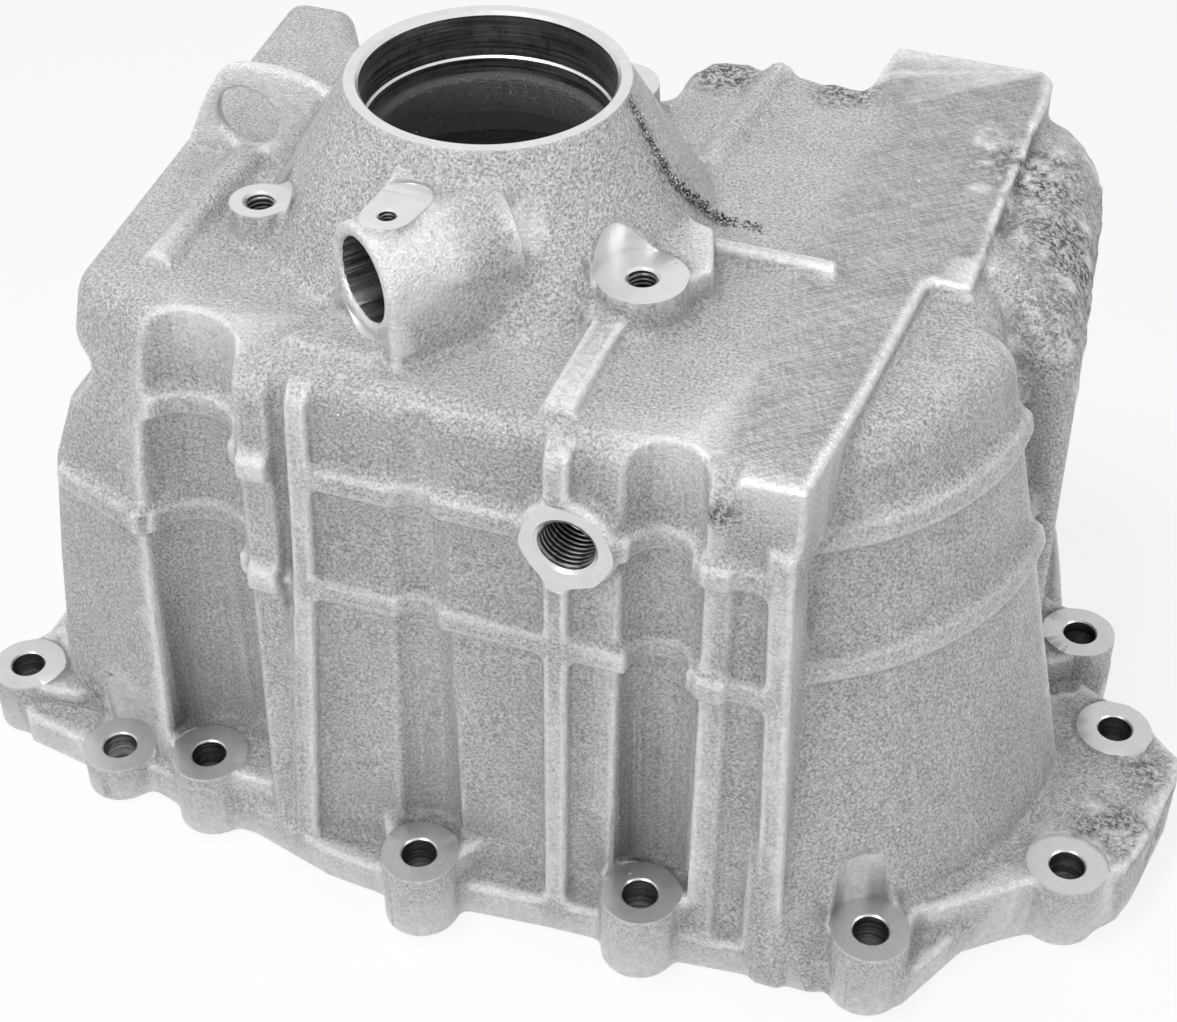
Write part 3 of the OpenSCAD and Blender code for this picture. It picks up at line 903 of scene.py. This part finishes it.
def tongue_outline(radius: float) -> list[tuple[float, float]]:
    """Outline of the retaining screw's tongue, round at both ends."""
    (x0, y0, _), (x1, y1) = SCREW, TONGUE_END
    front = [(x0 + radius * math.cos(a), y0 + radius * math.sin(a)) for a in np.linspace(math.pi, 2 * math.pi, 25)]
    back = [(x1 + radius * math.cos(a), y1 + radius * math.sin(a)) for a in np.linspace(0, math.pi, 25)]
    return front + back


@dataclass
class CastBody:
    """The raw casting before machining.

    Attributes:
        voxel: Grid step of its level set.
        fillet: Radius of its inner corners.
        spare: Metal left on a face for the cutter.
        triangles: Triangles kept after thinning.
    """

    voxel: float = 0.85
    fillet: float = 1.7
    spare: float = 3.0
    triangles: int = 150_000

    def stock(self) -> tuple[np.ndarray, np.ndarray]:
        """The CAD node as triangles, run on below the joint face and above the rim.

        Returns:
            Points in millimetres in the row frame, and triangles.
        """
        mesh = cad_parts[NODE].data
        points, near = points_of(mesh).astype(float) / MM, 0.02
        points[points[:, 2] < near, 2] = -self.spare - 1
        points[points[:, 2] > RIM - near, 2] = RIM + self.spare
        return points, triangles_of(mesh)

    def field(self) -> Field:
        """The level set with posts for the cutters and rough patches.

        Returns:
            The field of the raw casting.
        """
        points, triangles = self.stock()
        field = Field.filled(points, triangles, self.voxel, self.fillet)
        for lug in LUGS:
            field.add_post(lug.x, lug.y, lug.z - 6, lug.z + self.spare, 11.8)
        for boss in BOSSES:
            field.add_post(boss.x, boss.y, BOSS_FACE - 6, BOSS_FACE + self.spare, boss.radius)
        field.add_pad(1, PLUG_FACE, PLUG[1] - self.spare, PLUG[1] + 6)
        field.add_pad(2, tongue_outline(7.3), SCREW[2] - 4, SCREW[2] + self.spare)
        self.roughen(field)
        field.soften(1)
        return field

    def roughen(self, field: Field) -> None:
        """Grows the rough patches of the torn spots."""
        for seed, spot in enumerate(TORN_SPOTS):
            place, r = np.array(spot.place), spot.radius
            field.roughen(place - r, place + r, 5.0, 0.75 * spot.strength, 10 * seed)

    def mesh(self, field: Field) -> bpy.types.Object:
        """The thinned surface of the raw casting.

        Args:
            field: The raw casting's field.

        Returns:
            The surface as an object.
        """
        points, quads = field.skin()
        LOG.info("raw skin: %d quads", len(quads))
        obj = placed("HousingSkin", mesh_from("HousingSkin", points * MM, quads))
        thin = obj.modifiers.new("Thin", "DECIMATE")
        thin.ratio = min(1.0, self.triangles / (2 * len(quads)))
        thin.use_collapse_triangulate = True
        baked(obj)
        return obj


# Boring bar of the tail, for the seal bore with its lands and the rim, then that of the countershaft's pocket.
BORE_TOOL = [
    (0, 204, CAST), (33.52, 204, CAST), (33.52, SEAL_END - 0.6, CAST), (34.1, SEAL_END, CAST),
    (37.05, SEAL_END, BORED), (37.05, 219.8, MILLED), (37.7, 220.4, BORED), (37.7, 233.9, MILLED),
    (38.6, RIM, MILLED), (62, RIM, MILLED), (62, RIM + 12, MILLED), (0, RIM + 12, MILLED),
]  # fmt: skip
POCKET_TOOL = [(0, 150, BORED), (31.8, 150, BORED), (31.8, 153.2, BORED), (31.02, 154, BORED), (31.02, 171, BORED),
               (0, 171, BORED)]  # fmt: skip
# Tap drill, countersink and spot facer of the fill plug, measured out from its face.
PLUG_TOOL = [
    (0, -36, DRILLED), (8.52, -36, DRILLED), (8.52, -1.0, MILLED), (9.6, 0, MILLED), (17.5, 0, MILLED),
    (17.5, 9, MILLED), (0, 9, MILLED),
]  # fmt: skip
# Boring bar and facer of the speedometer port.
PORT_TOOL = [
    (0, -60, DRILLED), (9, -60, DRILLED), (9, -26, BORED), (12.52, -26, BORED), (12.52, -0.9, MILLED),
    (13.4, 0, MILLED), (17.3, 0, MILLED), (17.3, 8, MILLED), (0, 8, MILLED),
]  # fmt: skip
# Tap drill of the retaining screw.
SCREW_TOOL = [
    (0, -12, DRILLED), (2.6, -12, DRILLED), (2.6, -0.5, MILLED), (3.1, 0, MILLED), (3.3, 0.5, MILLED),
    (0, 0.5, MILLED),
]  # fmt: skip


@dataclass
class Machining:
    """The cutters that take the raw casting to size.

    Attributes:
        materials: The housing's finishes, in the order of Finish.
    """

    materials: list[bpy.types.Material]

    def lug_tool(self, lug: Lug) -> Tool:
        """Stepped drill and spot facer of a flange lug."""
        profile = [
            (0, -6, DRILLED), (5.52, -6, DRILLED), (5.52, lug.z - 0.5, FACED), (6.0, lug.z, FACED),
            (12.7, lug.z, CAST), (12.7, lug.z + 20, CAST), (0, lug.z + 20, CAST),
        ]  # fmt: skip
        return turned_mesh(profile, (lug.x, lug.y, 0), (0, 0, 1), 72)

    def boss_tool(self, boss: Boss) -> Tool:
        """Tap drill and spot facer of a tail boss."""
        face, side = BOSS_FACE, boss.radius + 1.05
        profile = [
            (0, 174.5, DRILLED), (4.42, 177, DRILLED), (4.42, face - 0.8, MILLED), (5.2, face, MILLED),
            (side, face, MILLED), (side, face + 21, MILLED), (0, face + 21, MILLED),
        ]  # fmt: skip
        return turned_mesh(profile, (boss.x, boss.y, 0), (0, 0, 1), 72)

    def tongue_tool(self) -> Tool:
        """End mill of the retaining screw's tongue, which runs back into the cone."""
        return prism_mesh(tongue_outline(8.1), SCREW[2], SCREW[2] + 14, MILLED, MILLED)

    def joint_tool(self) -> Tool:
        """Face mill of the joint face."""
        return prism_mesh([(-180, -150), (260, -150), (260, 180), (-180, 180)], -20, 0, MILLED, MILLED)

    def cut(self, obj: bpy.types.Object, name: str, tools: Iterable[Tool]) -> None:
        """Cuts tools that don't touch each other out of the housing.

        Args:
            obj: The housing.
            name: Name of the stage.
            tools: Points, triangles and finishes of each tool.
        """
        points, triangles, kinds, base = [], [], [], 0
        for p, t, k in tools:
            points.append((p + SHAFT) * MM)
            triangles.append(t + base)
            kinds.append(k)
            base += len(p)
        mesh = mesh_from(name, np.vstack(points), np.vstack(triangles), np.concatenate(kinds))
        for material in self.materials:
            mesh.materials.append(material)
        tool = placed(name, mesh)
        cutter = obj.modifiers.new(name, "BOOLEAN")
        cutter.operation, cutter.object = "DIFFERENCE", tool
        cutter.solver, cutter.material_mode = "MANIFOLD", "TRANSFER"
        before = len(obj.data.polygons)
        baked(obj)
        bpy.data.objects.remove(tool)
        LOG.info("%s: %d -> %d faces", name, before, len(obj.data.polygons))

    def machine(self, obj: bpy.types.Object) -> None:
        """Runs the stages in order on the raw casting."""
        obj.data.materials.clear()
        for material in self.materials:
            obj.data.materials.append(material)
        up = (0, 0, 1)
        turned = [turned_mesh(BORE_TOOL, (0, 0, 0), up, 160), turned_mesh(POCKET_TOOL, (85, -5.5, 0), up, 128)]
        turned.append(turned_mesh(PLUG_TOOL, PLUG, PLUG_AXIS, 96))
        drilled = [self.lug_tool(lug) for lug in LUGS] + [self.boss_tool(boss) for boss in BOSSES]
        self.cut(obj, "JointFace", [self.joint_tool()])
        self.cut(obj, "Drilling", drilled + turned)
        self.cut(obj, "Port", [turned_mesh(PORT_TOOL, PORT, PORT_AXIS, 96)])
        self.cut(obj, "Tongue", [self.tongue_tool()])
        self.cut(obj, "Screw", [turned_mesh(SCREW_TOOL, SCREW, up, 48)])


class GeometryTree:
    """A Geometry Nodes tree with named inputs that ends in Realize Instances and Set Material."""

    def __init__(self, name: str, sizes: dict[str, float]) -> None:
        """Starts a tree.

        Args:
            name: The tree's name.
            sizes: The named inputs with their values.
        """
        self.tree = bpy.data.node_groups.new(name, "GeometryNodeTree")
        self.sizes = sizes
        face = self.tree.interface
        face.new_socket("Geometry", in_out="INPUT", socket_type="NodeSocketGeometry")
        for label, value in sizes.items():
            kind = "NodeSocketInt" if isinstance(value, int) else "NodeSocketFloat"
            face.new_socket(label, in_out="INPUT", socket_type=kind)
        face.new_socket("Geometry", in_out="OUTPUT", socket_type="NodeSocketGeometry")
        self.given = self.tree.nodes.new("NodeGroupInput")

    def size(self, label: str) -> bpy.types.NodeSocket:
        """Socket of a named input."""
        return self.given.outputs[label]

    def node(self, kind: str, settings: dict[str, object], inputs: dict[str | int, object]) -> bpy.types.Node:
        """Adds a node, sets it, then its sockets.

        Args:
            kind: The node's type.
            settings: Attributes that are set first.
            inputs: Values or sockets of its inputs.

        Returns:
            The node.
        """
        node = self.tree.nodes.new(kind)
        for key, value in settings.items():
            setattr(node, key, value)
        for key, value in inputs.items():
            if isinstance(value, bpy.types.NodeSocket):
                self.tree.links.new(value, node.inputs[key])
            else:
                node.inputs[key].default_value = value
        return node

    def chance(self, least: Vec3, most: Vec3) -> bpy.types.NodeSocket:
        """Random vector between two, from the tree's Seed."""
        inputs = {0: least, 1: most, "Seed": self.size("Seed")}
        return self.node("FunctionNodeRandomValue", {"data_type": "FLOAT_VECTOR"}, inputs).outputs[0]

    def run(self, obj: bpy.types.Object, made: bpy.types.NodeSocket, material: bpy.types.Material) -> bpy.types.Mesh:
        """Ends the tree, runs it on an object and applies the result.

        Args:
            obj: The object that feeds the tree and takes its result.
            made: The socket of the made geometry.
            material: Its finish.

        Returns:
            The plain mesh.
        """
        real = self.node("GeometryNodeRealizeInstances", {}, {"Geometry": made})
        dress = self.node("GeometryNodeSetMaterial", {}, {"Geometry": real.outputs[0], "Material": material})
        out = self.tree.nodes.new("NodeGroupOutput")
        self.tree.links.new(dress.outputs[0], out.inputs["Geometry"])
        nodes = obj.modifiers.new(self.tree.name, "NODES")
        nodes.node_group = self.tree
        for item in self.tree.interface.items_tree:
            if item.item_type == "SOCKET" and item.in_out == "INPUT" and item.name in self.sizes:
                nodes[item.identifier] = self.sizes[item.name]
        return baked(obj)


def strewn(tree: GeometryTree, points: bpy.types.NodeSocket, least: float, most: float) -> bpy.types.NodeSocket:
    """Puts a small lump of random size and turn on each point.

    Args:
        tree: The tree, with Seed among its inputs.
        points: The points.
        least: Smallest radius in millimetres.
        most: Largest radius in millimetres.

    Returns:
        The socket of the instances.
    """
    lump = tree.node("GeometryNodeMeshIcoSphere", {}, {"Radius": MM, "Subdivisions": 1})
    turn = tree.chance((0.0, 0.0, 0.0), (6.28, 6.28, 6.28))
    scale = tree.chance((least, least, least), (most, most, most))
    spread = tree.node(
        "GeometryNodeInstanceOnPoints",
        {},
        {"Points": points, "Instance": lump.outputs["Mesh"], "Rotation": turn, "Scale": scale},
    )
    return spread.outputs["Instances"]


@dataclass
class TornSeam:
    """Crumbled seam that runs down the cone and over the roof.

    Attributes:
        width: Half its width in millimetres.
        step: Distance between lumps in millimetres.
    """

    width: float = 2.2
    step: float = 0.10

    def build(self, material: bpy.types.Material) -> bpy.types.Object:
        """Makes the seam's lumps along its path.

        Args:
            material: Their finish.

        Returns:
            The seam as a plain piece.
        """
        mesh = bpy.data.meshes.new("TornSeam")
        points = [tuple((np.array(p) + SHAFT) * MM) for p in SEAM]
        mesh.from_pydata(points, [(i, i + 1) for i in range(len(points) - 1)], [])
        obj = placed("TornSeam", mesh)
        tree = GeometryTree("TornSeam", {"Step": self.step * MM, "Width": self.width * MM, "Seed": 4})
        path = tree.node("GeometryNodeMeshToCurve", {}, {"Mesh": tree.size("Geometry")})
        dots = tree.node(
            "GeometryNodeCurveToPoints", {"mode": "LENGTH"}, {"Curve": path.outputs[0], "Length": tree.size("Step")}
        )
        shift = tree.chance((-1.0, -1.0, -0.5), (1.0, 1.0, 0.1))
        place = tree.node("GeometryNodeInputPosition", {}, {})
        height = tree.node("ShaderNodeSeparateXYZ", {}, {0: place.outputs[0]})
        ends = {"Value": height.outputs["Z"], "From Min": 0.230, "From Max": 0.198, "To Min": 0.15, "To Max": 1.0}
        open_share = tree.node("ShaderNodeMapRange", {}, ends)
        width = tree.node(
            "ShaderNodeMath", {"operation": "MULTIPLY"}, {0: open_share.outputs[0], 1: tree.size("Width")}
        )
        wide = tree.node("ShaderNodeVectorMath", {"operation": "SCALE"}, {0: shift, "Scale": width.outputs[0]})
        moved = tree.node("GeometryNodeSetPosition", {}, {"Geometry": dots.outputs[0], "Offset": wide.outputs[0]})
        tree.run(obj, strewn(tree, moved.outputs[0], 0.25, 0.75), material)
        LOG.info("TornSeam: %d faces", len(obj.data.polygons))
        return obj


@dataclass
class Nodules:
    """Tiny beads of metal that stand on the cast skin.

    Attributes:
        density: Beads on each square metre.
        margin: Distance in millimetres that they keep from the housing's box.
    """

    density: float = 4000.0
    margin: float = 1.5

    def build(self, skin: bpy.types.Object, material: bpy.types.Material) -> bpy.types.Object:
        """Strews the beads over the cast faces.

        Args:
            skin: The machined housing.
            material: Their finish.

        Returns:
            The beads as one plain piece.
        """
        points, corners = points_of(skin.data), triangles_of(skin.data)
        kinds = np.empty(len(corners), np.int32)
        skin.data.loop_triangles.foreach_get("material_index", kinds)
        low, high = points.min(axis=0) + self.margin * MM, points.max(axis=0) - self.margin * MM
        inside = (points[corners] > low).all(axis=(1, 2)) & (points[corners] < high).all(axis=(1, 2))
        outside = inside & (kinds == CAST.value)
        used, index = np.unique(corners[outside], return_inverse=True)
        obj = placed("Nodules", mesh_from("Nodules", points[used], index.reshape(-1, 3)))
        tree = GeometryTree("Nodules", {"Density": self.density, "Seed": 11})
        dots = tree.node(
            "GeometryNodeDistributePointsOnFaces",
            {},
            {"Mesh": tree.size("Geometry"), "Density": tree.size("Density"), "Seed": tree.size("Seed")},
        )
        tree.run(obj, strewn(tree, dots.outputs["Points"], 0.12, 0.38), material)
        LOG.info("Nodules: %d faces", len(obj.data.polygons))
        return obj


@dataclass
class ThreadRun:
    """A screw thread that follows a hole, made by Geometry Nodes.

    Attributes:
        name: The thread's name.
        origin: Mouth of the hole, from the shaft axis.
        axis: Direction out of the mouth.
        radius: Radius of the hole's wall.
        pitch: Height of one turn.
        depth: Length of the thread.
        start: Depth of its first turn.
    """

    name: str
    origin: Vec3
    axis: Vec3
    radius: float
    pitch: float
    depth: float
    start: float = 1.0

    def build(self, material: bpy.types.Material) -> bpy.types.Object:
        """Makes the thread in its hole.

        Args:
            material: Finish of the thread.

        Returns:
            The thread as a plain piece.
        """
        obj = placed(self.name, bpy.data.meshes.new(self.name))
        sizes = {
            "Radius": self.radius * MM,
            "Height": self.depth * MM,
            "Turns": self.depth / self.pitch,
            "Ridge": 0.42 * self.pitch * MM,
        }
        tree = GeometryTree(self.name, sizes)
        spiral = tree.node(
            "GeometryNodeCurveSpiral",
            {},
            {
                "Resolution": 40,
                "Rotations": tree.size("Turns"),
                "Start Radius": tree.size("Radius"),
                "End Radius": tree.size("Radius"),
                "Height": tree.size("Height"),
            },
        )
        ridge = tree.node("GeometryNodeCurvePrimitiveCircle", {}, {"Resolution": 6, "Radius": tree.size("Ridge")})
        sweep = tree.node(
            "GeometryNodeCurveToMesh",
            {},
            {"Curve": spiral.outputs["Curve"], "Profile Curve": ridge.outputs["Curve"], "Fill Caps": True},
        )
        mesh = tree.run(obj, sweep.outputs["Mesh"], material)
        turn = Vector(self.axis).to_track_quat("Z", "Y").to_matrix().to_4x4()
        foot = Vector((np.array(self.origin) + SHAFT - np.array(self.axis) * (self.start + self.depth)) * MM)
        mesh.transform(Matrix.Translation(foot) @ turn)
        mesh.shade_smooth()
        LOG.info("%s: %d faces", self.name, len(mesh.polygons))
        return obj


@dataclass
class Housing:
    """The whole housing: raw casting, machining, threads, seam and beads.

    Attributes:
        body: The raw casting.
        near: Distance out from the skin at which creases show.
        far: Distance out from it at which shaded hollows show.
        under: Distance into the metal at which edges show.
        clear: Distance out from the skin that clears the belts.
        seam: Half width of the torn skin along the seam.
        throat: Radius round the shaft axis that holds the throat's wall but not the cone's.
    """

    body: CastBody = field(default_factory=CastBody)
    near: float = 2.6
    far: float = 8.0
    under: float = 2.0
    clear: float = 6.0
    seam: float = 3.5
    throat: float = 42.0

    def threads(self) -> list[ThreadRun]:
        """The threads of the plug, the tail bosses and the retaining screw."""
        runs = [ThreadRun("PlugThread", PLUG, PLUG_AXIS, 8.5, 1.9, 15.0, 1.2)]
        for i, boss in enumerate(BOSSES):
            runs.append(ThreadRun(f"BossThread{i + 1}", (boss.x, boss.y, BOSS_FACE), (0, 0, 1), 4.4, 1.5, 18.0))
        runs.append(ThreadRun("ScrewThread", SCREW, (0, 0, 1), 2.6, 1.0, 5.0, 0.8))
        return runs

    def trim(self, mesh: bpy.types.Mesh) -> None:
        """Holds the skin's points inside the CAD model's box."""
        points = np.clip(points_of(mesh), np.float32(CAD_BOX[0]), np.float32(CAD_BOX[1]))
        mesh.vertices.foreach_set("co", np.ascontiguousarray(points).ravel())
        mesh.update()

    def paint(self, mesh: bpy.types.Mesh, raw: Field) -> None:
        """Paints the marks that the cast skin's material reads.

        Args:
            mesh: The machined housing.
            raw: The raw casting's field.
        """
        points, normals = points_of(mesh) / MM, points_of(mesh, "normal")
        here, local = raw.at(points), points - SHAFT
        crease = 1 - (raw.at(points + normals * self.near) - here) / self.near
        shade = 1 - (raw.at(points + normals * self.far) - here) / self.far
        edge = 1 - (here - raw.at(points - normals * self.under)) / self.under
        torn = np.zeros(len(points))
        for spot in TORN_SPOTS:
            gap = np.linalg.norm(local - np.array(spot.place), axis=1)
            torn = np.maximum(torn, spot.strength * np.clip(1.5 * (1 - gap / spot.radius), 0, 1))
        for a, b in zip(np.array(SEAM[:-1]), np.array(SEAM[1:])):
            share = np.clip(((local - a) @ (b - a)) / ((b - a) @ (b - a)), 0, 1)[:, None]
            gap = np.linalg.norm(local - a - share * (b - a), axis=1)
            torn = np.maximum(torn, np.clip(1.6 * (1 - gap / self.seam), 0, 1))
        throat = (np.hypot(local[:, 0], local[:, 1]) < self.throat) & (points[:, 2] < SEAL_END + 0.3)
        marks = {
            # Dirt and painted shade in inner corners, from how far the skin stands off near each point.
            Mark.CREASE: np.clip((crease - 0.05) * 2.2, 0, 1),
            Mark.SHADE: np.clip((shade - 0.05) * 1.3, 0, 1),
            # Wear and painted highlight on outer edges, from how thin the metal is under each point.
            Mark.EDGE: np.clip((edge - 0.03) * 5.0, 0, 1),
            Mark.TORN: torn,
            # Painted shade: points that lie in the hollow under the roof, or in the throat.
            Mark.INNER: raw.covered(points + normals * self.clear, ROOF - 18) | throat,
        }
        for mark, values in marks.items():
            layer = mesh.attributes.new(mark.value, "FLOAT", "POINT")
            layer.data.foreach_set("value", np.ascontiguousarray(values, np.float32))

    def build(self) -> None:
        """Makes the housing, hands it to the frame and reports it."""
        materials = finishes()
        raw = self.body.field()
        skin = self.body.mesh(raw)
        Machining(materials).machine(skin)
        self.trim(skin.data)
        self.paint(skin.data, raw)
        skin.data.set_sharp_from_angle(angle=math.radians(38))
        LOG.info("housing: %d faces", len(skin.data.polygons))
        pieces = [run.build(materials[DRILLED.value]) for run in self.threads()]
        pieces.append(TornSeam().build(materials[TORN.value]))
        pieces.append(Nodules().build(skin, materials[MILLED.value]))
        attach(skin, BODY)
        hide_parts(NODE)
        for piece in pieces:
            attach(piece, BODY)


@dataclass
class Studio:
    """Floor, soft lights and the camera at the photograph's angle."""

    lens: float = 68.82
    place: Vec3 = (181.95, -548.3, 561.7)
    pitch: float = 49.5
    heading: float = 19.5

    def floor(self) -> None:
        """Plain pale floor that shows white and keeps the housing's shadow."""
        s = Shader("PaleFloor")
        body = s.node("ShaderNodeBsdfDiffuse", {}, {"Color": grey(0.86)})
        glow = s.node("ShaderNodeEmission", {}, {"Color": grey(1.0), "Strength": 1.0})
        seen = s.node("ShaderNodeLightPath", {}, {}, "Is Camera Ray")
        mirrored = s.node("ShaderNodeLightPath", {}, {}, "Is Glossy Ray")
        mixed = s.node("ShaderNodeMixShader", {}, {0: (seen * 0.82 + mirrored * 0.82).clamped(), 1: body, 2: glow})
        half, below = 6.0, -0.0005
        points = np.array([[-half, -half, below], [half, -half, below], [half, half, below], [-half, half, below]])
        mesh = mesh_from("Floor", points, np.array([[0, 1, 2, 3]]))
        mesh.materials.append(s.end(mixed))
        placed("Floor", mesh)

    def world(self) -> None:
        """Soft even sky that the camera sees as white."""
        world = bpy.data.worlds.new("Studio")
        world.use_nodes = True
        tree = world.node_tree
        tree.nodes.clear()
        out = tree.nodes.new("ShaderNodeOutputWorld")
        mixed = tree.nodes.new("ShaderNodeMixShader")
        path = tree.nodes.new("ShaderNodeLightPath")
        for socket, strength in ((1, 0.30), (2, 1.0)):
            sky = tree.nodes.new("ShaderNodeBackground")
            sky.inputs["Color"].default_value = grey(1.0)
            sky.inputs["Strength"].default_value = strength
            tree.links.new(sky.outputs[0], mixed.inputs[socket])
        either = tree.nodes.new("ShaderNodeMath")
        either.operation = "MAXIMUM"
        tree.links.new(path.outputs["Is Camera Ray"], either.inputs[0])
        tree.links.new(path.outputs["Is Glossy Ray"], either.inputs[1])
        tree.links.new(either.outputs[0], mixed.inputs[0])
        tree.links.new(mixed.outputs[0], out.inputs["Surface"])
        bpy.context.scene.world = world

    def lamp(self, name: str, place: Vec3, size: float, power: float, aim: Vec3 = (0, 0, 100)) -> None:
        """Adds a square soft lamp.

        Args:
            name: The lamp's name.
            place: Its place in millimetres in the row frame.
            size: Side of the square in millimetres.
            power: Power in watts.
            aim: The point that it faces.
        """
        data = bpy.data.lights.new(name, "AREA")
        data.size, data.energy = size * MM, power
        obj = bpy.data.objects.new(name, data)
        obj.location = Vector(place) * MM
        obj.rotation_euler = (Vector(aim) - Vector(place)).to_track_quat("-Z", "Y").to_euler()
        bpy.context.scene.collection.objects.link(obj)

    def camera(self) -> None:
        """Camera at the photograph's place."""
        data = bpy.data.cameras.new("Camera")
        data.lens, data.sensor_width = self.lens, 36.0
        data.clip_start, data.clip_end = 0.01, 50.0
        obj = bpy.data.objects.new("Camera", data)
        obj.location = Vector(self.place) * MM
        obj.rotation_euler = (math.radians(self.pitch), 0, math.radians(self.heading))
        bpy.context.scene.collection.objects.link(obj)
        bpy.context.scene.camera = obj

    def build(self) -> None:
        """Sets the whole stage."""
        self.floor()
        self.world()
        self.lamp("TopLamp", (-180, -120, 1100), 350, 6.8)
        self.lamp("FrontLamp", (-200, -1100, 600), 500, 4.5)
        self.lamp("SideLamp", (1000, -200, 500), 500, 2.4)
        self.camera()
        bpy.context.scene.view_settings.view_transform = "Standard"


def main() -> None:
    """Builds the housing and its studio."""
    logging.basicConfig(level=logging.INFO, format="%(name)s: %(message)s")
    Housing().build()
    Studio().build()


if __name__ == "__main__":
    main()
